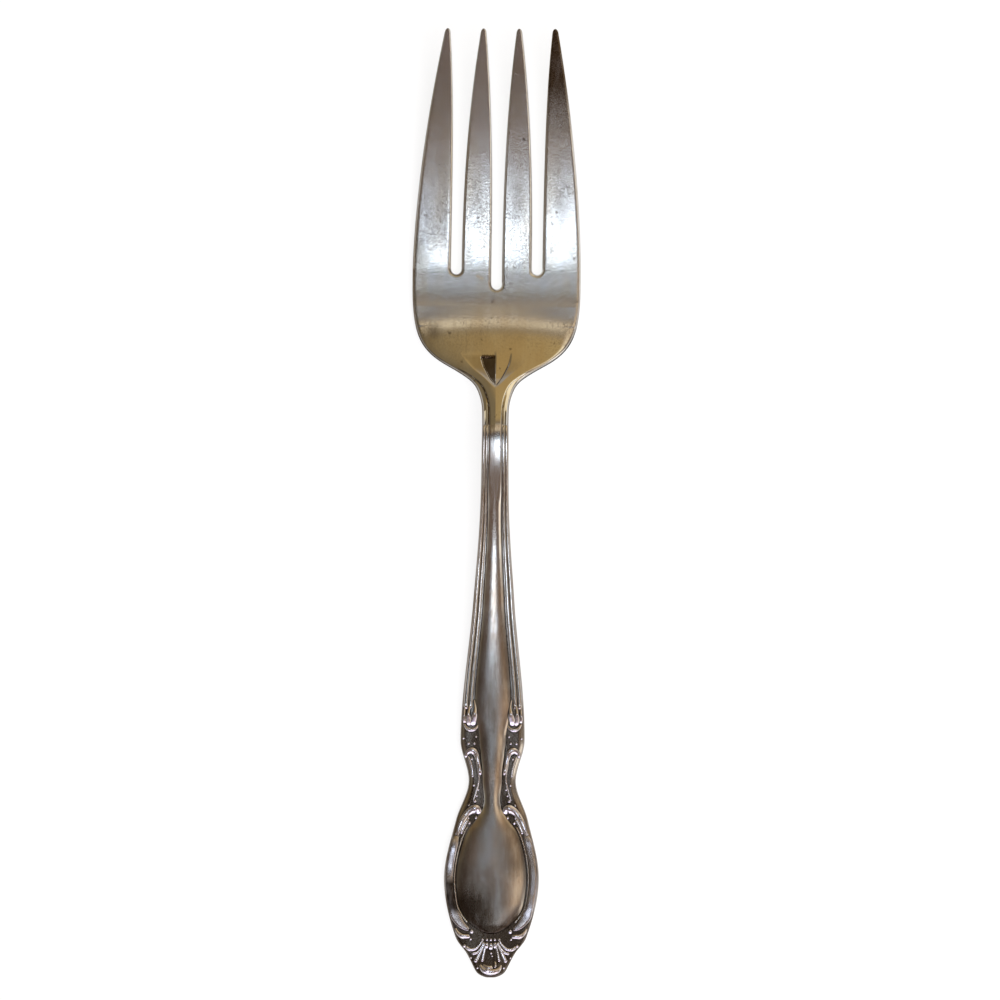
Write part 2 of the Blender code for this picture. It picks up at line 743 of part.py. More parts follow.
def make_shell(material, parent):
    """A fan of ribs below the panel; its middle ribs are cut short over the hollow."""
    rows = 6
    across = 6 * SHELL_RIBS
    points = []
    for row in range(rows):
        out = row / (rows - 1)
        for i in range(across + 1):
            turn = SHELL_SPREAD * (2 * i / across - 1)
            middle = math.exp(-((turn / (SHELL_HOLLOW_SHARE * SHELL_SPREAD)) ** 4))
            rib = abs(math.sin(math.pi * i * SHELL_RIBS / across))
            longest = rib_length(turn) * (1 - (1 - SHELL_CENTRE_SHARE) * middle)
            longest *= 1 - SHELL_SCALLOP * (1 - rib)
            radius = SHELL_ROOT_RADIUS + out * (longest - SHELL_ROOT_RADIUS)
            height = rib * (SHELL_ROOT_SHARE + (1 - SHELL_ROOT_SHARE) * out)
            points.append((radius * math.sin(turn), SHELL_ROOT - radius * math.cos(turn), height))

    def top(x, reach, rib):
        return seat(x, reach, 0.0) + SHELL_HEIGHT * (SHELL_LEAST_SHARE + (1 - SHELL_LEAST_SHARE) * rib)

    solid_between("shell", points, grid_cells(rows, across + 1), seat, top, material, parent)


def make_tip_boss(material, parent):
    rings = (0.35, 0.65, 0.88, 1.0)
    around = 20
    points = [(0.0, BOSS_REACH, 1.0)]
    for ring in rings:
        for i in range(around):
            turn = 2 * math.pi * i / around
            x = ring * BOSS_WIDTH / 2 * math.cos(turn)
            reach = BOSS_REACH + ring * BOSS_LENGTH / 2 * math.sin(turn)
            points.append((x, reach, math.sqrt(1 - ring**2)))
    cells = []
    for i in range(around):
        j = (i + 1) % around
        cells.append((0, 1 + i, 1 + j))
        for ring in range(len(rings) - 1):
            near = 1 + ring * around
            far = near + around
            cells.append((near + i, far + i, far + j, near + j))

    def top(x, reach, dome):
        return seat(x, reach, 0.0) + BOSS_HEIGHT * (BOSS_LEAST_SHARE + (1 - BOSS_LEAST_SHARE) * dome)

    solid_between("tip_boss", points, cells, seat, top, material, parent)


for old in list(bpy.data.objects):
    bpy.data.objects.remove(old)

fork = bpy.data.objects.new("meat_fork", None)
bpy.context.scene.collection.objects.link(fork)

satin_silver = silver("satin_silver", (0.80, 0.78, 0.74), 0.24)
stem_silver = silver("stem_silver", (0.72, 0.68, 0.63), 0.20)
bright_silver = silver("bright_silver", (0.84, 0.82, 0.82), 0.14)

make_fork_head(satin_silver, fork)
make_handle(stem_silver, fork)
for hand, side in (("left", -1), ("right", 1)):
    make_stem_reed(hand + "_stem_reed", side, stem_silver, fork)
    make_petals(hand + "_knee_petals", side, bright_silver, fork)
    make_waist_scroll(hand + "_waist_scroll", side, bright_silver, fork)
    make_bead_drop(hand + "_bead_drop", side, bright_silver, fork)
    make_rim_scroll(hand + "_rim_scroll", side, bright_silver, fork)
    make_inner_rim(hand + "_inner_rim", side, stem_silver, fork)
make_shell(bright_silver, fork)
make_tip_boss(bright_silver, fork)
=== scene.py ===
"""A silver-plated meat fork on a white floor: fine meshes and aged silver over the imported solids."""

import math

import bmesh
import bpy
import numpy as np
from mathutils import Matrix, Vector


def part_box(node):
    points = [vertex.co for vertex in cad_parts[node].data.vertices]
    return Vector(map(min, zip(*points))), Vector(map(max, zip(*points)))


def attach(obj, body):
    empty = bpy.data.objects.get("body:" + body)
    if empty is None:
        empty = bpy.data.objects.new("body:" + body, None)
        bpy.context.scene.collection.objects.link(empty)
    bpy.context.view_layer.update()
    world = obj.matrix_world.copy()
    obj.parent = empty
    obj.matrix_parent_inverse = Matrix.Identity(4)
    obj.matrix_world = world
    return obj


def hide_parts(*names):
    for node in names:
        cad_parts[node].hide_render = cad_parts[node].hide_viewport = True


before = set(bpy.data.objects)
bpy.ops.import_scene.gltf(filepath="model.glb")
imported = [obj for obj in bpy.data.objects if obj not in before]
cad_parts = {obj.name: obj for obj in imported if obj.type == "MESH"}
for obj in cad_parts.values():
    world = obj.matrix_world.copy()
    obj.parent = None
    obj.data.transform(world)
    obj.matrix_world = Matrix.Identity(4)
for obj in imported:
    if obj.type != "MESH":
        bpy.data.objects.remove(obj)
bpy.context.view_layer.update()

# Handle
# One forging of nickel silver under a few micrometres of silver: neck, stem, waist and oval cartouche.
# A crowned panel runs down its middle, and the sunk ledge beside it carries the soldered ornament.
# Sizes are millimetres from here on, and reach is the distance along the fork from the handle's tip.
MILLIMETRE = 0.001
TIP_START = 0.092
LOBE = 5.5
SHELL_ROOT = 9.2
PANEL_END = 10.0
BELLY = 22.3
SHOULDER = 36.0
VOLUTE = 38.58
WAIST = 44.9
KNEE = 54.2
PETALS = 61.6
STEM = 86.1
NECK = 109.0
JOINT = 126.0
PALM = 148.403
HEAD_REST = 150.403
FORK_LENGTH = 216.003
TIP_RADIUS = 4.6
PANEL_ROUND = 7.0
PANEL_SLOPE = 0.45
CROWN_POWER = 2.2
NECK_POWER = 12.0
NECK_CROWN = 0.8
KEEL_START = 108.0
KEEL_RUN = 10.0
KEEL_FALL = 0.10
ROOT_FALL = 0.22
EDGE_ROUND = 0.55
BEVEL = 1.05
BACK_FLAT = 0.5
BACK_POWER = 2.4
SHARP_ANGLE = math.radians(48)
WELD = 0.0002

tip_corner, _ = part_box("handle")
MIDDLE = TIP_START - tip_corner.y / MILLIMETRE


def smooth_through(*knots):
    """A smooth curve through (reach, value) knots that never swings past them."""
    reach, value = np.array(knots, float).T
    gap = np.diff(reach)
    rise = np.diff(value) / gap
    slope = np.zeros(len(knots))
    for i in range(1, len(gap)):
        if rise[i - 1] * rise[i] > 0:
            before = gap[i - 1] + 2 * gap[i]
            after = 2 * gap[i - 1] + gap[i]
            slope[i] = (before + after) / (before / rise[i - 1] + after / rise[i])
    slope[0] = 1.5 * rise[0] - 0.5 * slope[1]
    slope[-1] = 1.5 * rise[-1] - 0.5 * slope[-2]

    def at(where):
        i = np.clip(np.searchsorted(reach, where) - 1, 0, len(gap) - 1)
        t = np.clip((where - reach[i]) / gap[i], 0, 1)
        bend = t * (1 - t) * gap[i] * ((1 - t) * (slope[i] - rise[i]) - t * (slope[i + 1] - rise[i]))
        return value[i] + t * gap[i] * rise[i] + bend

    return at


def eased(curve, start, end, ease):
    """The same curve with its bends eased over a short length, so that reflections show no kink."""
    steps = 8
    spread = 3 * steps
    fine = np.arange(start - 4 * ease, end + 4 * ease, ease / steps)
    at_start, past_start, before_end, at_end = curve(np.array((start, start + 0.1, end - 0.1, end)))
    lead = at_start + (fine - start) * (past_start - at_start) / 0.1
    tail = at_end + (fine - end) * (at_end - before_end) / 0.1
    values = np.where(fine < start, lead, np.where(fine > end, tail, curve(np.clip(fine, start, end))))
    weights = np.exp(-0.5 * (np.arange(-spread, spread + 1) / steps) ** 2)
    soft = np.convolve(np.pad(values, spread, mode="edge"), weights / weights.sum(), mode="valid")
    return lambda where: np.interp(where, fine, soft)


sides = smooth_through(
    (0.0, 2.9),
    (LOBE, 5.5),
    (SHELL_ROOT, 8.3),
    (BELLY, 10.85),
    (SHOULDER, 8.15),
    (WAIST, 5.35),
    (KNEE, 7.3),
    (STEM, 4.65),
    (NECK, 3.2),
    (JOINT, 3.0),
)
ledge_width = smooth_through(
    (BELLY, 2.65),
    (29.2, 2.65),
    (31.4, 2.76),
    (33.7, 3.1),
    (SHOULDER, 4.25),
    (VOLUTE, 4.9),
    (WAIST, 3.0),
    (KNEE, 4.2),
    (PETALS, 2.8),
    (STEM, 2.2),
    (NECK, 1.6),
)
back_line = smooth_through(
    (0.0, 0.3),
    (4.5, 0.0),
    (PANEL_END, 0.0),
    (BELLY, 0.02),
    (SHOULDER, 0.18),
    (KNEE, 0.44),
    (61.0, 0.60),
    (72.4, 0.985),
    (81.5, 1.485),
    (STEM, 1.83),
    (97.5, 2.79),
    (NECK, 4.40),
    (112.3, 5.00),
    (116.5, 5.745),
    (118.4, 6.015),
    (121.0, 6.295),
    (123.4, 6.50),
    (124.3, 6.53),
    (JOINT, 6.38),
    (128.2, 6.01),
    (HEAD_REST, 0.0),
    (HEAD_REST + 2.4, 0.0),
    (160.1, 0.37),
    (166.9, 1.06),
    (181.7, 3.26),
    (204.5, 8.15),
    (FORK_LENGTH, 11.4),
)
thickness_line = smooth_through(
    (0.0, 1.8), (BELLY, 2.1), (KNEE, 2.6), (JOINT, 3.4), (PALM, 2.3), (FORK_LENGTH, 0.9)
)
back = eased(back_line, 0.0, FORK_LENGTH, 0.8)
thickness = eased(thickness_line, 0.0, FORK_LENGTH, 2.0)


def outline(reach):
    """Half-width of the handle, its tip rounded off to TIP_RADIUS."""
    straight = sides(reach)
    round_tip = np.sqrt(2 * TIP_RADIUS * np.maximum(reach, TIP_START))
    return straight * (1 + (straight / round_tip) ** 10) ** -0.1


def fade_in(value, start, over):
    """0 up to the start, rising evenly to 1 over the length given."""
    return np.clip((value - start) / over, 0, 1)


def fade_out(value, end, over):
    """1 at first, falling evenly to 0 at the end over the length given."""
    return np.clip((end - value) / over, 0, 1)


def gently(share):
    """A share from 0 to 1 that starts and ends without a kink."""
    return share * share * (3 - 2 * share)


def panel(reach):
    """Half-width of the smooth middle panel, rounded off at its foot."""
    opening = np.sqrt(1 - (1 - fade_in(reach, PANEL_END, PANEL_ROUND)) ** 2)
    return np.clip((outline(reach) - ledge_width(reach)) * opening, 0.05, 0.9 * outline(reach))


crown_height = smooth_through(
    (PANEL_END, 1.1), (BELLY, 1.1), (SHOULDER, 0.95), (WAIST, NECK_CROWN), (JOINT, NECK_CROWN)
)


def neck_share(reach):
    """0 along the stem, 1 where the neck has its keel."""
    return gently(fade_in(reach, KEEL_START, KEEL_RUN))


def crown(x, reach):
    """Rise of the panel above the ledge. The neck is flatter, with a keel that falls to the left."""
    across = np.clip(np.abs(x) / panel(reach), 0, 1)
    power = CROWN_POWER + (NECK_POWER - CROWN_POWER) * neck_share(reach)
    fall = KEEL_FALL + (ROOT_FALL - KEEL_FALL) * fade_in(reach, JOINT - 2.5, 2.5)
    swell = (1 - across**power) ** (1 / power) - fall * neck_share(reach) * across * (x < 0)
    foot = np.sin(np.pi / 2 * fade_in(reach, PANEL_END, PANEL_SLOPE))
    return crown_height(reach) * foot * swell


def ledge(reach):
    """Height of the ledge above the table."""
    return back(reach) + thickness(reach)


def edge_drop(distance, reach, radius):
    """How far the upper side falls towards an edge, where it meets the lower side at mid thickness."""
    beyond = np.clip(1 - distance / radius, 0, 1)
    return 0.5 * thickness(reach) * (1 - np.sqrt(1 - beyond**2))


def quads(numbers):
    """Four-cornered faces of a grid of vertex numbers."""
    corners = (numbers[:-1, :-1], numbers[:-1, 1:], numbers[1:, 1:], numbers[1:, :-1])
    return np.stack(corners, -1).reshape(-1, 4)


def two_sided(upper, lower, tarnish_and_shade, painted_edge_shade):
    """A closed skin of an upper and a lower grid that meet along their sides, with painted shade along
    them.
    """
    numbers = np.arange(upper[..., 0].size).reshape(upper.shape[:2])
    below = numbers + numbers.size
    faces = [quads(numbers), quads(below)[:, ::-1]]
    for row in (0, -1):
        faces.append(quads(np.stack((numbers[row], below[row]))))
    points = np.concatenate((upper.reshape(-1, 3), lower.reshape(-1, 3)))
    dark = np.concatenate((np.maximum(tarnish_and_shade, painted_edge_shade).ravel(), painted_edge_shade.ravel()))
    return points, np.concatenate(faces), dark


def make_piece(name, skins, finish):
    """A piece of closed skins in millimetres that rides on the fork and stands for its node."""
    form = bmesh.new()
    # Each corner carries its share of tarnish and painted shade to the material.
    depth = form.verts.layers.float.new("tarnish_and_shade")
    for points, faces, tarnish_and_shade in skins:
        corners = []
        for (x, reach, z), dark in zip(points.tolist(), tarnish_and_shade.tolist()):
            corner = form.verts.new((x * MILLIMETRE, (reach - MIDDLE) * MILLIMETRE, z * MILLIMETRE))
            corner[depth] = dark
            corners.append(corner)
        for face in faces.tolist():
            form.faces.new([corners[i] for i in face])
    bmesh.ops.remove_doubles(form, verts=form.verts, dist=WELD * MILLIMETRE)
    bmesh.ops.recalc_face_normals(form, faces=form.faces)
    mesh = bpy.data.meshes.new(name + "_silver")
    form.to_mesh(mesh)
    form.free()
    mesh.shade_smooth()
    mesh.set_sharp_from_angle(angle=SHARP_ANGLE)
    mesh.materials.append(finish)
    made = bpy.data.objects.new(name + "_silver", mesh)
    bpy.context.scene.collection.objects.link(made)
    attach(made, "root")
    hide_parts(name)


def node(tree, kind, inputs=None, **settings):
    """A shader node with its settings made and its sockets set or linked."""
    made = tree.nodes.new(kind)
    for name, value in settings.items():
        setattr(made, name, value)
    for name, value in (inputs or {}).items():
        if isinstance(value, bpy.types.NodeSocket):
            tree.links.new(value, made.inputs[name])
        else:
            made.inputs[name].default_value = value
    return made


def calc(tree, operation, a, b=0.0, c=0.0):
    """The result of one sum on two or three values."""
    return node(tree, "ShaderNodeMath", {0: a, 1: b, 2: c}, operation=operation).outputs[0]


def blend(tree, share, a, b):
    """Colour a going over to colour b."""
    mixed = node(tree, "ShaderNodeMix", {0: share, 6: a, 7: b}, data_type="RGBA")
    return mixed.outputs[2]


def rise_between(tree, value, low, high, top=1.0):
    """0 below low, going smoothly to top at high."""
    inputs = {"Value": value, "From Min": low, "From Max": high, "To Max": top}
    return node(tree, "ShaderNodeMapRange", inputs, interpolation_type="SMOOTHSTEP").outputs[0]


def noise(tree, where, scale, detail=4.0, roughness=0.55):
    """A cloudy value about one half."""
    inputs = {"Vector": where, "Scale": scale, "Detail": detail, "Roughness": roughness}
    return node(tree, "ShaderNodeTexNoise", inputs).outputs[0]


def shader_group(name, inputs, outputs):
    """An empty node group with its named sockets, and the sockets to build between."""
    group = bpy.data.node_groups.new(name, "ShaderNodeTree")
    for label, start in inputs.items():
        kind = "NodeSocketVector" if start is None else "NodeSocketFloat"
        kind = "NodeSocketColor" if isinstance(start, tuple) else kind
        socket = group.interface.new_socket(name=label, in_out="INPUT", socket_type=kind)
        if start is not None:
            socket.default_value = start
    for label, kind in outputs.items():
        group.interface.new_socket(name=label, in_out="OUTPUT", socket_type=kind)
    return group, group.nodes.new("NodeGroupInput").outputs, group.nodes.new("NodeGroupOutput").inputs


tarnish, given, wanted = shader_group(
    "silver_tarnish_and_shade",
    {
        "Where": None,
        "Silver": (0.8, 0.8, 0.8, 1.0),
        "Film": (0.5, 0.4, 0.3, 1.0),
        "Oxide And Shade": (0.05, 0.04, 0.03, 1.0),
        "Film Share": 0.5,
        "Film Scale": 200.0,
        "Spot Scale": 900.0,
        "Tarnish And Shade": 0.0,
    },
    {"Colour": "NodeSocketColor", "Dullness": "NodeSocketFloat"},
)
along_wipes = {0: given["Where"], 1: (1.0, 0.3, 1.0)}
wiped = node(tarnish, "ShaderNodeVectorMath", along_wipes, operation="MULTIPLY").outputs[0]
cloud = noise(tarnish, wiped, given["Film Scale"], 6.0, 0.62)
cloud = rise_between(tarnish, cloud, 0.38, 0.66)
filmed = calc(tarnish, "MULTIPLY", cloud, given["Film Share"])
spots = noise(tarnish, given["Where"], given["Spot Scale"], 2.0)
spots = rise_between(tarnish, spots, 0.69, 0.77, 0.55)
# This share of tarnish and painted shade blends the silver to the dark oxide colour.
tarnish_and_shade_share = calc(tarnish, "MULTIPLY", given["Tarnish And Shade"], calc(tarnish, "MULTIPLY_ADD", cloud, 0.3, 0.9))
oxide_and_shade = calc(tarnish, "MINIMUM", calc(tarnish, "MAXIMUM", tarnish_and_shade_share, spots), 1.0)
skin = blend(tarnish, filmed, given["Silver"], given["Film"])
dullness = calc(tarnish, "MAXIMUM", calc(tarnish, "MULTIPLY", filmed, 0.5), oxide_and_shade)
tarnish.links.new(blend(tarnish, oxide_and_shade, skin, given["Oxide And Shade"]), wanted["Colour"])
tarnish.links.new(dullness, wanted["Dullness"])

DENT_SCALE = 150.0
PATCH_SCALE = 95.0
wear, given, wanted = shader_group(
    "hairline_wear",
    {
        "Where": None,
        "Across Scale": 6000.0,
        "Along Scale": 300.0,
        "Speckle Scale": 2500.0,
        "Speckle Share": 0.5,
        "Dent Share": 0.0,
    },
    {"Height": "NodeSocketFloat", "Scuff": "NodeSocketFloat"},
)
scales = {0: given["Across Scale"], 1: given["Along Scale"], 2: given["Along Scale"]}
stretch = node(wear, "ShaderNodeCombineXYZ", scales).outputs[0]
drawn = node(wear, "ShaderNodeVectorMath", {0: given["Where"], 1: stretch}, operation="MULTIPLY")
hairlines = noise(wear, drawn.outputs[0], 1.0, 3.0)
speckle = noise(wear, given["Where"], given["Speckle Scale"], 3.0, 0.6)
worn = node(wear, "ShaderNodeMix", {0: given["Speckle Share"], 2: hairlines, 3: speckle}).outputs[0]
dents = noise(wear, given["Where"], DENT_SCALE, 3.0, 0.5)
patches = rise_between(wear, noise(wear, given["Where"], PATCH_SCALE, 3.0), 0.40, 0.66)
patches = calc(wear, "MULTIPLY_ADD", patches, 0.75, 0.25)
wear.links.new(calc(wear, "MULTIPLY_ADD", dents, given["Dent Share"], worn), wanted["Height"])
wear.links.new(calc(wear, "MULTIPLY", rise_between(wear, worn, 0.42, 0.68), patches), wanted["Scuff"])

EDGE_TINT = (0.5, 0.46, 0.42, 1.0)
SCUFF_COLOUR = (0.22, 0.19, 0.17, 1.0)
POLISHED_WEAR = 0.3


def aged_silver(
    name,
    tarnish_inputs,
    wear_inputs,
    roughness,
    dull_roughness,
    scuff_roughness,
    scuff_shade,
    depth,
    satin=None,
):
    """Silver plate with its film, oxide, painted shade and scratches, polished up to where the satin
    starts.
    """
    finish = bpy.data.materials.new(name)
    finish.use_nodes = True
    tree = finish.node_tree
    shader = tree.nodes["Principled BSDF"].inputs
    shader["Metallic"].default_value = 1.0
    shader["Specular Tint"].default_value = EDGE_TINT
    where = node(tree, "ShaderNodeTexCoord").outputs["Object"]
    tarnish_and_shade = node(tree, "ShaderNodeAttribute", attribute_name="tarnish_and_shade").outputs["Fac"]
    tarnish_inputs = {**tarnish_inputs, "Where": where, "Tarnish And Shade": tarnish_and_shade}
    aged = node(tree, "ShaderNodeGroup", tarnish_inputs, node_tree=tarnish).outputs
    worn = node(tree, "ShaderNodeGroup", {**wear_inputs, "Where": where}, node_tree=wear).outputs
    strength = 1.0
    if satin:
        along = node(tree, "ShaderNodeSeparateXYZ", {0: where}).outputs[1]
        strength = rise_between(tree, along, *satin, 1 - POLISHED_WEAR)
        strength = calc(tree, "ADD", strength, POLISHED_WEAR)
    scuffed = calc(tree, "MULTIPLY", calc(tree, "MULTIPLY", worn["Scuff"], scuff_shade), strength)
    rough = calc(tree, "MULTIPLY_ADD", aged["Dullness"], dull_roughness, roughness)
    rough = calc(tree, "MULTIPLY_ADD", worn["Scuff"], scuff_roughness, rough)
    bump = {"Height": worn["Height"], "Strength": strength, "Distance": depth}
    tree.links.new(blend(tree, scuffed, aged["Colour"], SCUFF_COLOUR), shader["Base Color"])
    tree.links.new(calc(tree, "MULTIPLY", rough, strength), shader["Roughness"])
    tree.links.new(node(tree, "ShaderNodeBump", bump).outputs[0], shader["Normal"])
    return finish


stem_plate = aged_silver(
    "stem_plate",
    {
        "Silver": (0.80, 0.77, 0.74, 1.0),
        "Film": (0.52, 0.39, 0.295, 1.0),
        "Oxide And Shade": (0.080, 0.060, 0.045, 1.0),
        "Film Share": 0.75,
        "Film Scale": 260.0,
        "Spot Scale": 1500.0,
    },
    {"Across Scale": 3500.0, "Along Scale": 220.0, "Speckle Scale": 2600.0, "Speckle Share": 0.45},
    roughness=0.15,
    dull_roughness=0.12,
    scuff_roughness=0.06,
    scuff_shade=0.35,
    depth=0.000008,
)

tip_rows = TIP_START + (LOBE - TIP_START) * np.linspace(0, 1, 20) ** 2
long_rows = np.linspace(LOBE, JOINT, 262)[1:]
foot_rows = np.linspace(PANEL_END, PANEL_END + 2.4, 32)
reaches = np.concatenate((tip_rows, np.unique(np.concatenate((long_rows, foot_rows)))))[:, None]
half = outline(reaches)
round_off = np.minimum(EDGE_ROUND, 0.4 * (half - panel(reaches)) + 0.1)
inner = np.maximum(panel(reaches), 0.2 * half)
panel_columns = np.sin(np.pi / 2 * np.linspace(0, 1, 17))
ledge_columns = np.array((0.04, 0.14, 0.35, 0.55, 0.7, 0.8, 0.9, 1.0))
edge_columns = np.sin(np.pi / 2 * np.linspace(0, 1, 7))[1:]
across = np.concatenate(
    (
        inner * panel_columns,
        inner + (half - round_off - inner) * ledge_columns,
        half - round_off * (1 - edge_columns),
    ),
    axis=1,
)
across = np.concatenate((-across[:, :0:-1], across), axis=1)
along = np.broadcast_to(reaches, across.shape)
lean = np.gradient(half[:, 0], reaches[:, 0])[:, None]
to_edge = (half - np.abs(across)) / np.sqrt(1 + lean**2)
bevel = smooth_through((30.0, 0.0), (39.0, 0.45), (58.0, 0.45), (66.0, 0.0))
border = bevel(along) * np.clip(BEVEL - to_edge, 0, BEVEL)
drop = np.maximum(edge_drop(to_edge, along, round_off), border)
upper = ledge(along) + crown(across, along) - drop
beyond = fade_in(np.abs(across) / half, BACK_FLAT, 1 - BACK_FLAT)
lower = back(along) + 0.5 * thickness(along) * beyond**BACK_POWER
upper = np.where(to_edge <= 1e-9, lower, upper)

# Tarnish is black on the ledge. Painted shade darkens parts of the panel, its foot, flanks and edges.
ornament = smooth_through((0.0, 1.0), (KNEE, 1.0), (PETALS, 0.75), (STEM, 0.45), (JOINT, 0.15))
outward = np.abs(across) / panel(along)
off_panel = np.clip((np.abs(across) - panel(along)) / 0.12 + 0.6, 0, 1)
off_panel = np.where(along < PANEL_END, 1.0, off_panel)
tarnish_and_shade_share = ornament(along) * off_panel * (0.15 + 0.75 * fade_in(to_edge, 0.8, 0.3))
# Painted shade: the lower cartouche darker, most on the left, and the right of its upper half.
painted_low_shade = 0.96 * fade_out(along, 27.0, 10.0) * fade_out(across, 5.0, 6.5)
dimmed = 0.5 * fade_in(along, 21.5, 4.0) * fade_out(along, 39.0, 4.0) * fade_in(across, 1.0, 2.5)
# Painted shade on the panel's foot and lower end, its steep flanks and lower corners, hiding highlights.
painted_foot_shade = 0.5 * fade_out(along, 19.0, 7.0) * (across < 4.0)
painted_foot_shade = np.maximum(painted_foot_shade, fade_out(along, PANEL_END + 3.2, 1.4))
painted_flank_shade = 0.8 * fade_in(outward, 0.88, 0.1) * (outward < 1.03) * (along > PANEL_END)
corner = fade_in(outward, 0.7, 0.2) * fade_out(along, 17.0, 3.0)
# Painted shade on the panel at the knee and stem, most at its middle and left, and on the stem's right.
painted_panel_shade = smooth_through((46.0, 0.0), (54.0, 0.58), (62.0, 0.58), (76.0, 0.28), (84.0, 0.0))(along)
painted_panel_shade = painted_panel_shade * fade_out(across, 1.5, 1.2) * (0.5 + 0.5 * fade_in(across, -2.0, 1.0))
painted_right_shade = 0.4 * fade_in(along, 62.0, 6.0) * fade_out(along, 86.0, 6.0) * fade_in(across, 1.0, 0.8)
painted_panel_shade = np.maximum(painted_panel_shade, painted_right_shade) * (outward < 1)
tarnish_and_shade_share = np.max((tarnish_and_shade_share, painted_low_shade, dimmed, painted_foot_shade, painted_flank_shade, corner, painted_panel_shade), axis=0)
# Painted shade along the handle's edges, heavier on the left, where the white floor would shine.
painted_edge_shade = np.where(across < 0, 0.72, 0.5) * fade_out(to_edge, 0.5, 0.14)
make_piece(
    "handle",
    [two_sided(np.stack((across, along, upper), -1), np.stack((across, along, lower), -1), tarnish_and_shade_share, painted_edge_shade)],
    stem_plate,
)

# Head
# The root, the dished palm and the four tines are one forging, its tang soldered into the neck.
# The palm is satin from years of washing, and finely scratched along its length.
HEEL = 129.65
SLOT = 156.803
SIDE_SLOT = 160.203
PALM_HALF = 19.15
HALF_SLOT = 1.2
SIDE_SLOT_CENTRE = 9.2
INNER_TIP_CENTRE = 4.05
OUTER_TIP_CENTRE = 12.2
HALF_TIP = 0.55
TIP_ROUND = 0.9
TONGUE_START = 135.0
TONGUE_END = 142.0
TONGUE_DEPTH = 0.62
TONGUE_WALL = 0.3
ROOT_LEDGE = 1.6
REED_HEIGHT = 0.22
REED_END = 133.5
KEEL_END = 141.0
BACK_ROUND_END = 146.0
LEAN = 0.65
NEAR_SIDE = 0.8
FINE_END = 1.2
BENT_LENGTH = 10.0

head_sides = smooth_through(
    (JOINT, 3.0),
    (HEEL, 3.05),
    (132.5, 3.62),
    (135.3, 4.95),
    (138.0, 8.7),
    (140.7, 13.4),
    (143.5, 16.3),
    (146.2, 17.75),
    (148.9, 18.5),
    (151.7, 18.9),
    (154.4, 19.1),
    (SLOT, PALM_HALF),
    (SIDE_SLOT + 2.0, PALM_HALF),
)
head_half_width = eased(head_sides, JOINT, SIDE_SLOT + 2.0, 0.8)


def tine_edge(root_x, tip_x, bow):
    """The x of a tine's edge by reach: it leaves root_x slowly and bows to tip_x."""
    length = FORK_LENGTH - SIDE_SLOT
    return lambda reach: root_x + (tip_x - root_x) * fade_in(reach, SIDE_SLOT, length) ** bow


slot_edge = SIDE_SLOT_CENTRE - HALF_SLOT
inner_tine = (
    tine_edge(HALF_SLOT, INNER_TIP_CENTRE - HALF_TIP, 2.7),
    tine_edge(slot_edge, INNER_TIP_CENTRE + HALF_TIP, 2.4),
)
outer_tine = (
    tine_edge(slot_edge + 2 * HALF_SLOT, OUTER_TIP_CENTRE - HALF_TIP, 4.0),
    tine_edge(PALM_HALF, OUTER_TIP_CENTRE + HALF_TIP, 1.7),
)

tongue_half = smooth_through(
    (TONGUE_START, 0.02), (136.4, 1.1), (138.2, 2.1), (140.0, 2.9), (TONGUE_END, 3.3)
)
leaf_half = smooth_through((TONGUE_START - 1.0, 0.03), (136.4, 2.2), (139.0, 5.4), (TONGUE_END, 8.0))
tongue_sink = smooth_through((TONGUE_START, 0.0), (137.2, 0.6), (140.0, 1.0), (TONGUE_END, 1.0))


def root_fade(reach, end):
    """1 at the joint, where the section is the handle's, falling smoothly to 0 at the end."""
    return gently(fade_out(reach, end, end - JOINT))


def head_upper(x, reach):
    """Upper side of the head before its edges are rounded: keel, reeds and tongue fade into the palm."""
    out = np.abs(x)
    wide = np.where(reach < PALM, head_half_width(reach), PALM_HALF)
    flat = np.maximum(wide - ROOT_LEDGE, 1e-3)
    share = np.clip(out / flat, 0, 1)
    swell = (1 - share**NECK_POWER) ** (1 / NECK_POWER) - ROOT_FALL * share * (x < 0)
    ridge = NECK_CROWN * swell * root_fade(reach, KEEL_END)
    over_ledge = fade_in(np.clip((out - flat) / ROOT_LEDGE, 0, 1), 0.14, 0.72)
    reeds = REED_HEIGHT * np.abs(np.sin(2 * np.pi * over_ledge)) ** 0.7 * root_fade(reach, REED_END)
    wall = gently(fade_in(out, tongue_half(reach), TONGUE_WALL))
    facet = np.minimum(out / tongue_half(reach), 1) * (1 - wall) * np.where(x < 0, 1.0, 0.4)
    close = np.where(x < 0, fade_out(reach, 141.45, 0.3), fade_out(reach, 142.5, 4.0))
    tongue = TONGUE_DEPTH * tongue_sink(reach) * facet * close * (reach > TONGUE_START)
    near_rim = np.clip(1 - (wide - out) / 2.2, 0, 1) * fade_out(reach, 152.0, 6.0)
    pillow = np.where(x < 0, 0.18, 0.3) * near_rim**2 * (1 - root_fade(reach, 136.0))
    heel = 0.6 * (x / wide) ** 2 * fade_in(reach, 129.0, 8.0) * fade_out(reach, 153.0, 9.0)
    leaf_width = np.maximum(leaf_half(reach) - tongue_half(reach), 0.05)
    leaf = np.where(x < 0, 0.3, 0.2) * fade_out(out, leaf_half(reach), leaf_width)
    leaf = leaf * fade_out(reach, 143.0, 3.0) * fade_in(reach, 134.5, 2.0)
    return ledge(reach) + ridge + reeds - tongue - pillow - heel - leaf


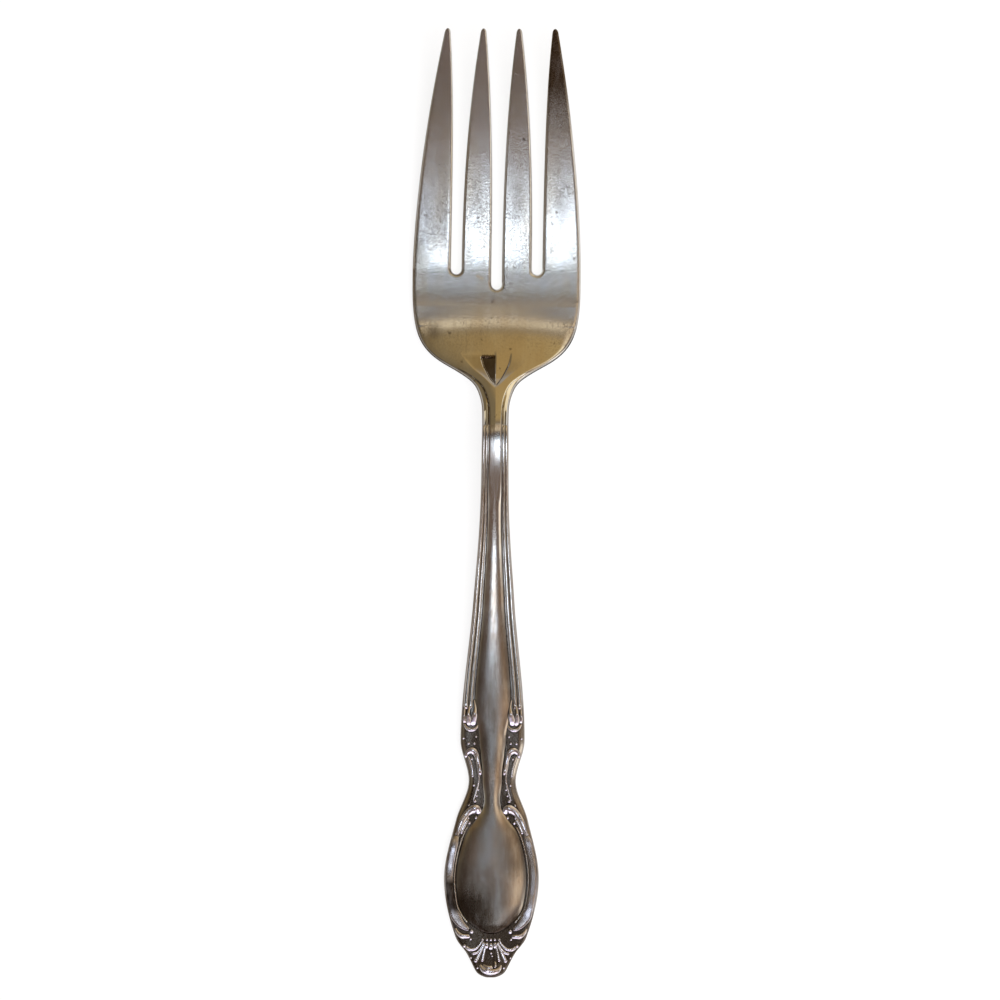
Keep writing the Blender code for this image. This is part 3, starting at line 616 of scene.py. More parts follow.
def head_skin(x, reach, to_edge, half_width, bent=0.0):
    """Upper and lower points of the head, joined along the edges, and raised by what it is bent."""
    radius = np.minimum(EDGE_ROUND, 0.75 * half_width)
    lower = back(reach) + edge_drop(to_edge, reach, radius)
    neck = root_fade(reach, BACK_ROUND_END)
    rounding = fade_in(np.abs(x) / half_width, BACK_FLAT, 1 - BACK_FLAT) ** BACK_POWER
    lower = np.maximum(lower, back(reach) + 0.5 * thickness(reach) * rounding * neck)
    upper = head_upper(x, reach) - edge_drop(to_edge, reach, radius)
    upper = np.where(to_edge <= 1e-7, lower, np.maximum(upper, lower))
    return np.stack((x, reach, upper + bent), -1), np.stack((x, reach, lower + bent), -1)


rim_steps = EDGE_ROUND * (1 - np.cos(np.pi / 2 * np.linspace(0, 1, 6)))[1:]


def tine_columns(low, high, count):
    """Places across a tine, close together towards both edges."""
    middle = np.linspace(low + EDGE_ROUND, high - EDGE_ROUND, count)
    return np.concatenate((low + rim_steps[:-1], middle, high - rim_steps[-2::-1]))


arc = np.pi / 2 * np.linspace(0, 1, 7)
centre_root = SLOT + HALF_SLOT
side_root = SIDE_SLOT + HALF_SLOT
columns = [(HALF_SLOT * math.sin(a), centre_root - HALF_SLOT * math.cos(a)) for a in arc]
for x in tine_columns(HALF_SLOT, slot_edge, 30):
    share = (x - HALF_SLOT) / (slot_edge - HALF_SLOT)
    columns.append((x, centre_root + share * (side_root - centre_root)))
for a in np.concatenate((-arc[::-1], arc[1:])):
    columns.append((SIDE_SLOT_CENTRE + HALF_SLOT * math.sin(a), side_root - HALF_SLOT * math.cos(a)))
for x in np.append(tine_columns(slot_edge + 2 * HALF_SLOT, PALM_HALF, 16), PALM_HALF):
    columns.append((x, side_root))
columns = np.array([(-x, root) for x, root in columns[:0:-1]] + columns)

last_rows = np.array((0.95, 0.7, 0.5, 0.34, 0.2, 0.1, 0.04, 0.0))
run_in = np.concatenate((np.linspace(0, 1, 150), np.ones(len(last_rows))))[:, None]
short = np.concatenate((np.full(150, FINE_END), last_rows))[:, None]
along = JOINT + run_in * (columns[:, 1] - JOINT - FINE_END) + (FINE_END - short) * (run_in == 1)
wide = head_half_width(along)
full = np.abs(columns[:, 0])
drawn_in = full * (wide - NEAR_SIDE) / (PALM_HALF - NEAR_SIDE)
moved = np.where(full > PALM_HALF - NEAR_SIDE, wide - (PALM_HALF - full), drawn_in)
across = np.sign(columns[:, 0]) * moved
lean = (head_half_width(along + 0.05) - head_half_width(along - 0.05)) / 0.1
to_edge = (wide - np.abs(across)) / np.sqrt(1 + lean**2)
for slot_x, slot_reach in ((0.0, centre_root), (SIDE_SLOT_CENTRE, side_root)):
    away = np.hypot(np.abs(across) - slot_x, along - slot_reach) - HALF_SLOT
    to_edge = np.where(along <= slot_reach + 1e-6, np.minimum(to_edge, away), to_edge)
    beside = np.abs(np.abs(across) - slot_x) - HALF_SLOT
    to_edge = np.where(along > slot_reach, np.minimum(to_edge, np.abs(beside)), to_edge)
upper, lower = head_skin(across, along, np.maximum(to_edge, 0), wide)


def fine_line(off, breadth):
    """1 on a line, dying away to both sides of it within its breadth."""
    return np.exp(-((off / breadth) ** 2))


# Tarnish fills the cuts of the tongue and the lines of the reeds, with one stain on the palm.
# Painted shade darkens the tongue's left facet, its step and leaf, and the crease along the root's left.
beyond = np.abs(across) - tongue_half(along)
over_ledge = np.abs(across) - (wide - ROOT_LEDGE)
groove = fine_line(beyond - 0.12, 0.16) * np.where(across > 0, 1.0, 0.6) * fade_out(along, 141.0, 2.0)
# Painted shade on the left only: the step, the facet and the leaf beside the tongue.
painted_step_shade = np.clip(1.6 - np.abs(along - 141.35) / 0.3, 0, 1) * (across < 0) * (beyond < 0.1)
facet = 0.75 * (across < 0) * (beyond < -0.05)
leaf = 0.3 * (across < 0) * fade_out(np.abs(across), leaf_half(along), 0.8) * fade_out(along, 142.4, 1.2)
tongue_tarnish_and_shade = np.max((groove, painted_step_shade, facet, leaf), axis=0) * (along > TONGUE_START) * (along < 141.9)
reed_lines = fine_line(over_ledge, 0.17) + 0.8 * fine_line(over_ledge - 0.8, 0.12)
stain = 0.6 * np.exp(-((across + 14.2) ** 2 + (along - 147.2) ** 2) / 3.0)
# Painted shade along the crease on the root's left side.
painted_crease_shade = 0.95 * fine_line(over_ledge, 0.3) * (across < 0) * fade_out(along, 140.0, 4.0)
tarnish_and_shade = np.maximum(tongue_tarnish_and_shade + 0.8 * reed_lines * root_fade(along, 135.0) + stain, painted_crease_shade)
# Painted shade along the head's edges, heavier on the left and lighter towards the tines.
painted_edge_share = np.where(across < 0, 0.8, 0.5 - 0.38 * fade_in(along, 148.0, 9.0))
painted_edge_shade = painted_edge_share * fade_out(to_edge, 0.46, 0.14)
skins = [two_sided(upper, lower, np.clip(tarnish_and_shade, 0, 1), painted_edge_shade)]

# Each side's inner and outer tine: roll in degrees, darkening towards the point, and a dim place on the
# shaft.
TINE_WEAR = {-1: ((1.0, 0.2, 0.25), (4.0, 0.25, 0.0)), 1: ((0.9, 0.3, 0.4), (1.0, 0.95, 0.3))}
tip_share = TIP_ROUND / (FORK_LENGTH - side_root)
shaft_rows = np.linspace(0, 1, 70)[:-1] ** 1.1 * (1 - tip_share)
point_rows = 1 - tip_share * np.linspace(1, 0, 8) ** 1.5
tine_rows = np.concatenate((shaft_rows, point_rows))[:, None]
for mirror, wear_by_tine in TINE_WEAR.items():
    for (edge_in, edge_out), (roll, brown, dim) in zip((inner_tine, outer_tine), wear_by_tine):
        low, high = edge_in(0.0), edge_out(0.0)
        held = columns[(mirror * columns[:, 0] >= low - 1e-6) & (mirror * columns[:, 0] <= high + 1e-6)]
        share = (mirror * held[:, 0] - low) / (high - low)
        along = held[:, 1] + tine_rows * (FORK_LENGTH - held[:, 1])
        point = np.clip(1 - (FORK_LENGTH - along) / TIP_ROUND, 0, 1)
        half = (edge_out(along) - edge_in(along)) / 2
        half = half * (0.12 + 0.88 * np.sqrt(1 - point**2))
        centre = (edge_out(along) + edge_in(along)) / 2
        offset = (2 * share - 1) * half
        to_edge = np.maximum(half - np.abs(offset), 0)
        to_edge = np.where(np.abs(2 * share - 1) > 1 - 1e-6, 0, to_edge)
        bent = -math.tan(math.radians(roll)) * offset * gently(fade_in(along, side_root, BENT_LENGTH))
        upper, lower = head_skin(mirror * (centre + offset), along, to_edge, half, bent)
        swung = LEAN * fade_in(along, side_root, FORK_LENGTH - side_root) ** 1.2
        upper[..., 0] += swung
        lower[..., 0] += swung
        # Painted shade along each tine's edges, heavy on the left edge and light on the right.
        painted_edge_shade = np.where(mirror * offset < 0, 0.75, 0.12) * fade_out(to_edge, 0.32, 0.14)
        darker_point = brown * fade_in(along, 190.0, 14.0)
        dimmed = dim * np.exp(-(((along - 177.0) / 6.0) ** 2) - (offset / 2.0) ** 2)
        skins.append(two_sided(upper, lower, np.maximum(darker_point, dimmed), painted_edge_shade))

satin_plate = aged_silver(
    "satin_plate",
    {
        "Silver": (0.84, 0.83, 0.81, 1.0),
        "Film": (0.70, 0.61, 0.47, 1.0),
        "Oxide And Shade": (0.10, 0.065, 0.035, 1.0),
        "Film Share": 0.55,
        "Film Scale": 110.0,
        "Spot Scale": 420.0,
    },
    {
        "Across Scale": 2600.0,
        "Along Scale": 200.0,
        "Speckle Scale": 1900.0,
        "Speckle Share": 0.72,
        "Dent Share": 1.5,
    },
    roughness=0.19,
    dull_roughness=0.08,
    scuff_roughness=0.08,
    scuff_shade=0.42,
    depth=0.000018,
    satin=(0.031, 0.042),
)
make_piece("fork_head", skins, satin_plate)

# Stem reeds
# A double reed, two fine rounded lines side by side, drawn as silver wire and soldered along the ledge.
# Their crests are polished by handling, and tarnish sits in the grooves beside them.
# Tarnish and painted shade darken their flanks.
SUNK = 0.12
RAKE = 0.6
# Share of tarnish and painted shade on the flanks of mounts and beads.
FLANK_TARNISH_AND_SHADE = 0.95
BEAD_LIFT = 0.35
BEAD_TALL = 0.95
BEAD_RAKE = 0.7


def curve_through(knots, steps=14):
    """Points of a smooth curve through the knots, each an (x, reach, half-width, height)."""
    knots = [np.array(knot, float) for knot in knots]
    ends = [2 * knots[0] - knots[1], *knots, 2 * knots[-1] - knots[-2]]
    points = []
    for a, b, c, d in zip(ends, ends[1:], ends[2:], ends[3:]):
        for t in np.arange(steps) / steps:
            swing = (c - a) * t + (2 * a - 5 * b + 4 * c - d) * t**2 + (3 * b - a - 3 * c + d) * t**3
            points.append(b + swing / 2)
    return np.array(points + [knots[-1]])


def fuller(value, power):
    """A sine or cosine drawn out, so that a round section grows fuller."""
    return math.copysign(abs(value) ** power, value)


swelling = [(fuller(math.cos(a), 0.7), math.sin(a) ** 0.7) for a in np.linspace(0, math.pi, 17)]
round_line = [(0.9, -1.0), *swelling, (-0.9, -1.0)]
flat_line = [(fuller(out, 0.65), fuller(up, 0.65)) for out, up in round_line]
reed = []
for a in np.linspace(0.12, math.pi, 12):
    reed.append((0.5 + 0.5 * fuller(math.cos(a), 0.6), max(math.sin(a) ** 0.6, 0.25)))
other_reed = [(-out, up) for out, up in reed[-2::-1]]
double_reed = [(0.97, -1.0), (1.0, 0.0), *reed, *other_reed, (-1.0, 0.0), (-0.97, -1.0)]


def shaded(facing):
    """Tarnish and painted shade of a raised form by how it faces: dark flanks, less towards the tip."""
    facing = facing / np.maximum(np.linalg.norm(facing, axis=-1, keepdims=True), 1e-12)
    facing = facing * np.where(facing[..., 2:] < 0, -1, 1)
    limit = 0.9 - 0.24 * np.clip(-facing[..., 1] / 0.4, 0, 1)
    return fade_out(facing[..., 2], limit, 0.14)


def stroke(knots, side, section=round_line, spacing=0.16, rake=RAKE, flank_tarnish_and_shade=FLANK_TARNISH_AND_SHADE):
    """A raised line with rounded ends on the ledge, through (x, reach, half-width, height) knots."""
    fine = curve_through(knots)
    fine[:, 0] *= side
    gone = np.concatenate(([0.0], np.cumsum(np.hypot(*np.diff(fine[:, :2], axis=0).T))))
    first, last = fine[0, 2], fine[-1, 2]
    ends = 1 - np.cos(np.pi / 2 * np.linspace(0, 1, 6))
    count = max(int((gone[-1] - first - last) / spacing), 3)
    middle = np.linspace(first, gone[-1] - last, count)
    marks = np.concatenate((first * ends[:-1], middle, gone[-1] - last * ends[-2::-1]))
    x, reach, half, tall = (np.interp(marks, gone, column) for column in fine.T)
    taper = np.sqrt(np.clip(1 - (1 - marks / first) ** 2, 0.004, 1)) * (marks < first) + (marks >= first)
    left = gone[-1] - marks
    taper *= np.sqrt(np.clip(1 - (1 - left / last) ** 2, 0.004, 1)) * (left < last) + (left >= last)
    run = np.gradient(np.stack((x, reach)), axis=1)
    run /= np.linalg.norm(run, axis=0)
    out, up = (np.array(column) for column in zip(*section))
    broad = half * taper
    ring_x = x[:, None] - out * (broad * run[1])[:, None]
    ring_reach = reach[:, None] + out * (broad * run[0])[:, None]
    risen = np.where(up > 0, up * (tall * taper)[:, None], up * SUNK)
    ring_z = ledge(ring_reach) + risen
    ring_reach = ring_reach + rake * np.maximum(risen, 0)
    numbers = np.arange(ring_x.size).reshape(ring_x.shape)
    looped = np.concatenate((numbers, numbers[:, :1]), axis=1)
    caps = []
    for row in (numbers[0][::-1], numbers[-1]):
        pairs = np.stack((row[: len(row) // 2], row[::-1][: len(row) // 2]))
        caps.append(quads(pairs))
    points = np.stack((ring_x.ravel(), ring_reach.ravel(), ring_z.ravel()), -1)
    grid = np.stack((ring_x, ring_reach, ring_z), -1)
    facing = np.cross(np.gradient(grid, axis=1), np.gradient(grid, axis=0))
    return points, np.concatenate((quads(looped), *caps)), flank_tarnish_and_shade * shaded(facing).ravel()


def ball(x, reach, radius, side):
    """A bead, a little flattened, sitting in the ledge."""
    turns = np.linspace(0, 2 * np.pi, 15)[:-1]
    climbs = np.linspace(-np.pi / 2, np.pi / 2, 10)
    level = np.cos(climbs)[:, None]
    tall = np.sin(climbs)[:, None] + 0 * turns
    out_x = radius * level * np.cos(turns)
    out_reach = radius * level * np.sin(turns)
    ball_x = side * x + out_x
    ball_reach = reach + out_reach + BEAD_RAKE * radius * np.maximum(tall, 0)
    ball_z = ledge(np.full(ball_x.shape, float(reach))) + radius * (BEAD_LIFT + BEAD_TALL * tall)
    facing = np.stack((out_x, out_reach, radius * (tall - 0.56 * level * np.sin(turns))), -1)
    numbers = np.arange(ball_x.size).reshape(ball_x.shape)
    looped = np.concatenate((numbers, numbers[:, :1]), axis=1)
    points = np.stack((ball_x.ravel(), ball_reach.ravel(), ball_z.ravel()), -1)
    return points, quads(looped), np.where(tall < 0, FLANK_TARNISH_AND_SHADE, FLANK_TARNISH_AND_SHADE * shaded(facing)).ravel()


HANDS = {"left": -1, "right": 1}
reed_height = smooth_through((PETALS, 0.6), (100.0, 0.5), (116.0, 0.25), (JOINT, REED_HEIGHT))
for hand, side in HANDS.items():
    knots = []
    for reach in np.linspace(PETALS - 0.6, JOINT, 40):
        middle = (panel(reach) + outline(reach)) / 2
        knots.append((middle, reach, 0.38 * (outline(reach) - panel(reach)), float(reed_height(reach))))
    reeds = stroke(knots, side, double_reed, spacing=0.5, rake=0.0, flank_tarnish_and_shade=0.4)
    make_piece(hand + "_stem_reed", [reeds], stem_plate)

# Knee petals
# Three petals hang from the foot of the reeds over a small cup, with beads below it.
# They are stamped mounts, bright on their crowns and black with tarnish between them.
# Tarnish and painted shade darken their flanks.
lilac_highlight_plate = aged_silver(
    "lilac_highlight_plate",
    {
        # Its silver is lighter than the stem's and tinted lilac: a painted lilac tint of its highlights.
        "Silver": (0.90, 0.87, 0.94, 1.0),
        "Film": (0.66, 0.57, 0.48, 1.0),
        "Oxide And Shade": (0.030, 0.022, 0.018, 1.0),
        "Film Share": 0.6,
        "Film Scale": 500.0,
        "Spot Scale": 2000.0,
    },
    {"Across Scale": 2500.0, "Along Scale": 900.0, "Speckle Scale": 3500.0, "Speckle Share": 0.6},
    roughness=0.17,
    dull_roughness=0.2,
    scuff_roughness=0.05,
    scuff_shade=0.15,
    depth=0.000004,
)
PETAL_KNOTS = (
    (
        (4.3, 63.2, 0.25, 0.45),
        (4.0, 61.2, 0.42, 0.70),
        (4.1, 59.6, 0.74, 1.10),
        (4.4, 58.4, 0.80, 0.75),
        (4.6, 57.3, 0.60, 0.25),
    ),
    (
        (5.2, 63.6, 0.25, 0.40),
        (5.35, 61.4, 0.34, 0.60),
        (5.55, 59.6, 0.56, 1.00),
        (5.5, 58.4, 0.66, 0.70),
        (5.3, 57.3, 0.52, 0.25),
    ),
    (
        (6.2, 62.4, 0.22, 0.35),
        (6.4, 60.8, 0.30, 0.48),
        (6.5, 59.2, 0.42, 0.62),
        (6.35, 57.9, 0.38, 0.25),
    ),
)
CUP_KNOTS = (
    (3.3, 57.5, 0.22, 0.30),
    (3.9, 56.6, 0.34, 0.48),
    (4.9, 56.2, 0.42, 0.55),
    (5.9, 56.7, 0.34, 0.48),
    (6.6, 57.8, 0.22, 0.30),
)
KNEE_BEADS = ((3.75, 54.9, 0.26), (6.6, 54.5, 0.26))
for hand, side in HANDS.items():
    skins = [stroke(knots, side) for knots in PETAL_KNOTS] + [stroke(CUP_KNOTS, side)]
    skins += [ball(*bead, side) for bead in KNEE_BEADS]
    make_piece(hand + "_knee_petals", skins, lilac_highlight_plate)

# Waist scrolls
# An inverted J scroll beside the waist, with a second strand that runs down to the shoulder.
# Stamped and soldered like the petals, with a few beads in its bends.
WAIST_STROKES = (
    (
        (6.1, 50.0, 0.30, 0.40),
        (5.8, 51.0, 0.55, 0.65),
        (4.8, 51.5, 0.80, 0.90),
        (3.9, 51.0, 0.78, 0.85),
        (3.45, 49.8, 0.58, 0.65),
        (3.1, 48.4, 0.50, 0.58),
        (2.85, 46.9, 0.50, 0.60),
        (2.8, 46.0, 0.35, 0.40),
    ),
    (
        (3.75, 49.2, 0.22, 0.40),
        (3.4, 47.8, 0.30, 0.45),
        (3.1, 46.0, 0.30, 0.45),
        (3.15, 44.4, 0.30, 0.45),
        (3.75, 42.0, 0.28, 0.42),
        (4.3, 40.2, 0.20, 0.36),
    ),
    (
        (5.6, 50.4, 0.20, 0.35),
        (5.1, 49.2, 0.32, 0.45),
        (4.6, 47.4, 0.32, 0.45),
        (4.45, 45.6, 0.22, 0.35),
    ),
)
WAIST_BEADS = ((4.15, 53.3, 0.32), (5.4, 53.3, 0.32), (4.7, 49.8, 0.30))
for hand, side in HANDS.items():
    skins = [stroke(knots, side) for knots in WAIST_STROKES]
    skins += [ball(*bead, side) for bead in WAIST_BEADS]
    make_piece(hand + "_waist_scroll", skins, lilac_highlight_plate)

# Bead drops
# A short row of beads that hangs between the waist scroll and the shoulder of the cartouche.
# The beads are cast in one string and soldered to the ledge.
DROP_BEADS = (
    (4.15, 43.8, 0.27),
    (3.2, 42.8, 0.28),
    (3.5, 41.4, 0.26),
    (3.9, 40.1, 0.42),
    (5.2, 39.2, 0.32),
)
for hand, side in HANDS.items():
    skins = [ball(*bead, side) for bead in DROP_BEADS]
    make_piece(hand + "_bead_drop", skins, lilac_highlight_plate)

# Rim scrolls
# The border of the cartouche: a volute at the shoulder, a long rounded rim, a curled foot at the shell.
# Each is one long stamped strip, worn bright where the hand rubs it.
RIM_INSET = 0.28
rim_half = smooth_through((12.2, 0.95), (14.0, 1.2), (15.5, 0.96), (17.0, 0.92), (31.0, 0.92))
VOLUTE_KNOTS = (
    (3.3, 37.1, 0.45, 0.35),
    (3.1, 37.8, 0.90, 0.75),
    (3.85, 38.2, 1.10, 0.95),
    (5.0, 37.8, 0.90, 0.80),
    (6.0, 36.8, 0.78, 0.66),
    (6.9, 35.2, 0.76, 0.70),
    (7.55, 33.4, 0.54, 0.58),
    (7.95, 31.9, 0.28, 0.36),
)
STRAND_KNOTS = (
    (5.3, 36.0, 0.40, 0.45),
    (5.95, 35.2, 0.44, 0.45),
    (6.55, 34.0, 0.42, 0.40),
    (7.0, 32.7, 0.28, 0.30),
)
FOOT_KNOTS = (
    (4.6, 9.3, 0.40, 0.45),
    (5.4, 9.2, 0.52, 0.60),
    (6.6, 9.3, 0.54, 0.60),
    (7.6, 10.1, 0.42, 0.5),
    (8.2, 11.2, 0.26, 0.35),
)
RIM_BEADS = (
    (3.6, 36.4, 0.36),
    (5.4, 36.3, 0.32),
    (5.1, 35.2, 0.36),
    (7.5, 32.1, 0.22),
    (8.1, 32.7, 0.28),
    (4.4, 10.4, 0.52),
    (4.6, 8.7, 0.30),
)
for hand, side in HANDS.items():
    upper_rim = (0.52, 0.92) if side < 0 else (0.74, 0.58)
    rim_height = smooth_through(
        (11.9, 0.36), (16.5, 0.76), (19.0, 0.70), (24.0, upper_rim[0]), (29.8, upper_rim[1]), (32.4, 0.6)
    )
    rim = [(4.9, 10.9, 0.36, 0.32), (5.8, 11.3, 0.66, 0.42), (6.9, 12.2, 0.95, 0.55)]
    for reach in np.linspace(14.0, 31.0, 12):
        half = float(rim_half(reach))
        rim.append((float(outline(reach)) - RIM_INSET - half, reach, half, float(rim_height(reach))))
    rim.append((float(outline(32.4)) - 1.3, 32.4, 0.5, 0.5))
    points, faces, tarnish_and_shade = stroke(rim, side, flat_line, rake=0.4)
    # A light painted shade over the whole rim tones down its highlights; the left rim's lower stretch is
    # darker still.
    tarnish_and_shade = np.maximum(tarnish_and_shade, 0.3)
    if side < 0:
        dull = np.clip(1 - np.abs(points[:, 1] - 18.6) / 5.6, 0, 0.5) / 0.5
        tarnish_and_shade = np.maximum(tarnish_and_shade, 0.85 * dull)
    skins = [(points, faces, tarnish_and_shade)]
    skins += [stroke(knots, side) for knots in (VOLUTE_KNOTS, STRAND_KNOTS, FOOT_KNOTS)]
    skins += [ball(*bead, side) for bead in RIM_BEADS]
    make_piece(hand + "_rim_scroll", skins, lilac_highlight_plate)

# Inner rims
# A thin line of silver wire between the rim and the panel, soldered to the ledge.
# It follows the panel's own oval from the shell up to the shoulder.
WIRE_HALF = 0.22
WIRE_HEIGHT = 0.187
WIRE_GAP = 0.33
for hand, side in HANDS.items():
    knots = []
    for reach in np.linspace(12.6, 34.4, 30):
        knots.append((float(panel(reach)) + WIRE_GAP, reach, WIRE_HALF, WIRE_HEIGHT))
    wire = stroke(knots, side, spacing=0.4, rake=0.0)
    make_piece(hand + "_inner_rim", [wire], stem_plate)

# Shell
# A fan of ribs below the panel: short lobes at its root, long ribs that end in beads, hooked ribs
# at the sides. It is one stamping, and the hollow in its middle is black with tarnish.
RIBS = (
    (
        (1.85, 8.4, 0.26, 0.55),
        (2.5, 7.3, 0.32, 0.48),
        (3.6, 6.4, 0.36, 0.43),
        (4.8, 6.3, 0.38, 0.43),
        (5.8, 7.0, 0.38, 0.43),
    ),
    ((1.55, 8.0, 0.26, 0.55), (2.2, 6.6, 0.32, 0.45), (3.2, 5.6, 0.34, 0.38), (4.3, 5.4, 0.36, 0.37)),
    ((1.3, 7.8, 0.26, 0.55), (2.3, 5.9, 0.34, 0.42), (3.1, 4.4, 0.42, 0.31), (3.55, 3.5, 0.46, 0.25)),
    ((0.95, 7.6, 0.24, 0.55), (1.45, 6.2, 0.29, 0.44), (1.8, 4.6, 0.32, 0.32), (1.95, 3.6, 0.34, 0.25)),
    ((0.85, 7.9, 0.34, 0.60), (0.98, 7.2, 0.52, 0.60), (1.15, 6.5, 0.48, 0.45)),
)
MIDDLE_RIB = ((0.0, 7.8, 0.36, 0.60), (0.0, 7.0, 0.54, 0.60), (0.0, 6.2, 0.50, 0.45))
MIDDLE_BEADS = ((0.0, 8.6, 0.36), (0.1, 5.55, 0.30), (0.3, 4.9, 0.24))
SHELL_BEADS = ((6.0, 7.15, 0.40), (1.9, 8.6, 0.36), (0.9, 8.6, 0.34), (4.5, 4.5, 0.26), (3.0, 2.2, 0.26))
skins = [stroke(MIDDLE_RIB, 1)]
skins += [ball(*bead, 1) for bead in MIDDLE_BEADS]
for side in HANDS.values():
    skins += [stroke(knots, side) for knots in RIBS]
    skins += [ball(*bead, side) for bead in SHELL_BEADS]
make_piece("shell", skins, lilac_highlight_plate)

# Tip boss
# A plain rounded lip at the very end of the handle, the last of the stamped mounts.
# It is polished bright by handling.
BOSS_STROKES = (
    (
        (-2.5, 2.9, 0.30, 0.25),
        (-1.7, 1.7, 0.50, 0.40),
        (0.0, 1.15, 0.60, 0.50),
        (1.7, 1.6, 0.48, 0.40),
        (2.5, 2.8, 0.28, 0.25),
    ),
    ((-1.9, 2.8, 0.30, 0.30), (-1.0, 2.1, 0.52, 0.50), (-0.2, 1.9, 0.55, 0.55), (0.5, 2.4, 0.36, 0.40)),
    ((0.9, 3.6, 0.22, 0.30), (1.1, 2.7, 0.34, 0.40), (0.8, 2.0, 0.30, 0.35)),
)
BOSS_BEAD = (-0.7, 1.5, 0.62)
skins = [stroke(knots, 1, rake=1.0) for knots in BOSS_STROKES]
skins.append(ball(*BOSS_BEAD, 1))
make_piece("tip_boss", skins, lilac_highlight_plate)

# Floor
# A wide white sheet just under the fork. To the camera and to the metal it is plain white,
# with a faint soft shadow where the fork lies.
FLOOR_SIZE = 6.0
FLOOR_HEIGHT = -0.0002
GLOW_SHARE = 0.8
bpy.ops.mesh.primitive_plane_add(size=FLOOR_SIZE, location=(0.0, 0.0, FLOOR_HEIGHT))
floor = bpy.context.object
floor.name = "floor"
paper = bpy.data.materials.new("white_paper")
paper.use_nodes = True
tree = paper.node_tree
matt = tree.nodes["Principled BSDF"]
matt.inputs["Base Color"].default_value = (0.90, 0.91, 0.93, 1.0)
matt.inputs["Roughness"].default_value = 0.9
matt.inputs["Specular IOR Level"].default_value = 0.0
glow = node(tree, "ShaderNodeEmission", {"Color": (1.0, 1.0, 1.0, 1.0), "Strength": 1.0})
path = node(tree, "ShaderNodeLightPath").outputs
seen = calc(tree, "ADD", path["Is Camera Ray"], path["Is Glossy Ray"])
seen = calc(tree, "MINIMUM", calc(tree, "ADD", seen, path["Is Transmission Ray"]), 1.0)
mixed = {0: calc(tree, "MULTIPLY", seen, GLOW_SHARE), 1: matt.outputs[0], 2: glow.outputs[0]}
shown = node(tree, "ShaderNodeMixShader", mixed)
tree.links.new(shown.outputs[0], tree.nodes["Material Output"].inputs["Surface"])
floor.data.materials.append(paper)

# Light
# Plain soft light: a room of dim warm walls, one small window behind the handle, and a broad soft lamp.
# Directions are the x, y and z of a ray, so a card at y -0.18 hangs ten degrees towards the handle.
card, given, wanted = shader_group(
    "light_card",
    {"Where": None, "X": 0.0, "Y": 0.0, "Half X": 0.1, "Half Y": 0.1, "Soft": 0.05},
    {"Mask": "NodeSocketFloat"},
)
place = node(card, "ShaderNodeSeparateXYZ", {0: given["Where"]}).outputs
masks = []
for axis, middle, reach_out in ((0, "X", "Half X"), (1, "Y", "Half Y")):
    off = calc(card, "ABSOLUTE", calc(card, "SUBTRACT", place[axis], given[middle]))
    inner_edge = calc(card, "SUBTRACT", given[reach_out], given["Soft"])
    outer_edge = calc(card, "ADD", given[reach_out], given["Soft"])
    masks.append(calc(card, "SUBTRACT", 1.0, rise_between(card, off, inner_edge, outer_edge)))
above = calc(card, "GREATER_THAN", place[2], 0.0)
both = calc(card, "MULTIPLY", masks[0], masks[1])
card.links.new(calc(card, "MULTIPLY", both, above), wanted["Mask"])

room = bpy.data.worlds.new("room")
bpy.context.scene.world = room
room.use_nodes = True
tree = room.node_tree
ray = node(tree, "ShaderNodeTexCoord").outputs["Generated"]
toward = node(tree, "ShaderNodeSeparateXYZ", {0: ray}).outputs


def hang(on, colour, x, y, half_x, half_y, soft):
    """The room's colour with one more card hung in it."""
    inputs = {"Where": ray, "X": x, "Y": y, "Half X": half_x, "Half Y": half_y, "Soft": soft}
    mask = node(tree, "ShaderNodeGroup", inputs, node_tree=card).outputs["Mask"]
    return blend(tree, mask, on, (*colour, 1.0))


WALLS = (
    (-1.0, (0.10, 0.09, 0.07)),
    (-0.80, (0.20, 0.18, 0.13)),
    (-0.62, (0.09, 0.075, 0.06)),
    (-0.45, (0.05, 0.042, 0.035)),
    (-0.28, (0.045, 0.036, 0.032)),
    (-0.15, (0.085, 0.066, 0.056)),
    (0.0, (0.115, 0.106, 0.112)),
    (0.10, (0.14, 0.115, 0.10)),
    (0.17, (0.48, 0.37, 0.26)),
    (0.25, (0.80, 0.62, 0.43)),
    (0.38, (0.74, 0.57, 0.40)),
    (0.58, (0.20, 0.155, 0.125)),
    (0.78, (0.20, 0.16, 0.13)),
    (1.0, (0.45, 0.40, 0.34)),
)
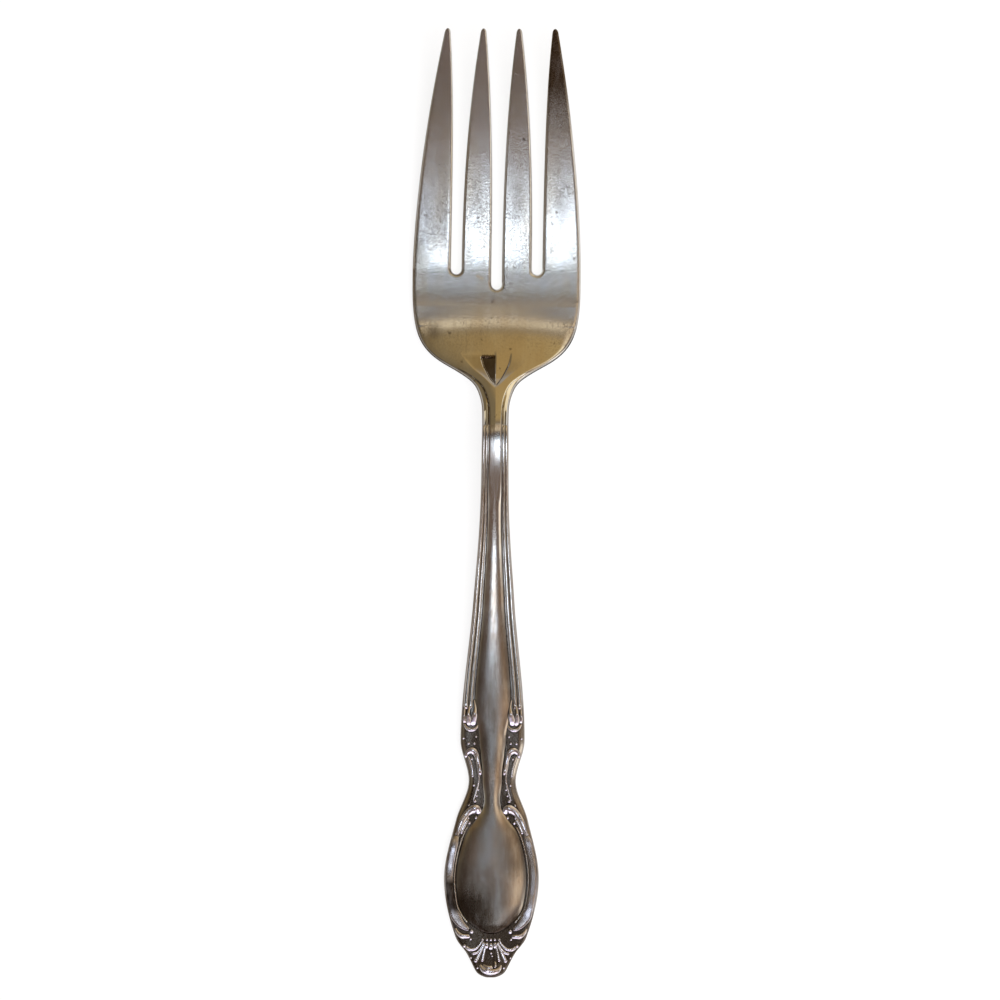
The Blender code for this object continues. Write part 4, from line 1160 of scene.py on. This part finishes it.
# Each card has a colour, the x and y of its middle, its half-widths in x and y, and a soft edge.
DIM_CARDS = (
    ((0.12, 0.24, 0.33), 0.0, -0.130, 0.06, 0.042, 0.035),
    ((0.17, 0.135, 0.12), 0.36, -0.290, 0.23, 0.180, 0.012),
    ((0.19, 0.15, 0.125), -0.45, -0.30, 0.27, 0.18, 0.05),
    ((0.17, 0.12, 0.088), 0.0, -0.45, 0.28, 0.18, 0.03),
    ((0.20, 0.15, 0.08), -0.40, 0.54, 0.40, 0.46, 0.10),
    ((0.42, 0.29, 0.12), 0.46, 0.68, 0.53, 0.32, 0.10),
)
BRIGHT_CARDS = (
    ((1.10, 0.95, 0.66), 0.55, 0.60, 0.24, 0.36, 0.08),
    ((0.64, 0.52, 0.35), 0.20, 0.19, 0.34, 0.080, 0.08),
    ((0.95, 0.80, 0.56), -0.06, 0.17, 0.08, 0.070, 0.07),
    ((1.60, 1.50, 1.40), 0.84, -0.42, 0.13, 0.15, 0.05),
    ((2.1, 1.95, 2.4), 0.02, -0.82, 0.50, 0.11, 0.10),
    ((1.40, 1.28, 1.10), 0.72, -0.25, 0.17, 0.10, 0.04),
    ((0.32, 0.33, 0.37), 0.0, -0.200, 0.24, 0.048, 0.035),
    ((1.00, 1.15, 1.40), 0.0, -0.200, 0.15, 0.040, 0.030),
    ((5.0, 5.6, 6.3), 0.0, -0.197, 0.09, 0.030, 0.018),
)
LOW_WALL = (0.50, 0.48, 0.45, 1.0)
HORIZON = (0.92, 0.92, 0.92, 1.0)
across_room = node(tree, "ShaderNodeValToRGB", {0: calc(tree, "MULTIPLY_ADD", toward[0], 0.5, 0.5)})
stops = across_room.color_ramp.elements
while len(stops) < len(WALLS):
    stops.new(0.5)
for stop, (x, colour) in zip(stops, WALLS):
    stop.position = (x + 1) / 2
    stop.color = (*colour, 1.0)
walls = across_room.outputs[0]
for hung in DIM_CARDS:
    walls = hang(walls, *hung)
walls = blend(tree, rise_between(tree, toward[2], 0.62, 0.34, 0.6), walls, LOW_WALL)
for hung in BRIGHT_CARDS:
    walls = hang(walls, *hung)
walls = blend(tree, rise_between(tree, toward[2], 0.22, 0.06), walls, HORIZON)
sky = tree.nodes["Background"]
tree.links.new(walls, sky.inputs["Color"])
sky.inputs["Strength"].default_value = 1.0

LAMP_PLACE = Vector((0.25, -0.2, 1.1))
lamp = bpy.data.lights.new("soft_lamp", "AREA")
lamp.shape = "DISK"
lamp.size = 0.9
lamp.energy = 14.0
soft_lamp = bpy.data.objects.new("soft_lamp", lamp)
soft_lamp.location = LAMP_PLACE
soft_lamp.rotation_euler = LAMP_PLACE.to_track_quat("Z", "Y").to_euler()
soft_lamp.visible_glossy = False
bpy.context.scene.collection.objects.link(soft_lamp)

# Camera
# It looks straight down, from far enough to keep the fork's proportions.
# It is turned half a degree, and its frame is a little longer than the fork.
CAMERA_HEIGHT = 4.0
FRAME_WIDTH = 0.2277
FRAME_HEIGHT = 0.004
FRAME_CENTRE = (0.00121, 0.00083)
TURN = math.radians(0.5)
SENSOR = 36.0
lens = bpy.data.cameras.new("camera")
lens.sensor_width = SENSOR
lens.lens = SENSOR * (CAMERA_HEIGHT - FRAME_HEIGHT) / FRAME_WIDTH
camera = bpy.data.objects.new("camera", lens)
camera.location = (*FRAME_CENTRE, CAMERA_HEIGHT)
camera.rotation_euler = (0.0, 0.0, TURN)
bpy.context.scene.collection.objects.link(camera)
bpy.context.scene.camera = camera
bpy.context.scene.view_settings.view_transform = "Standard"
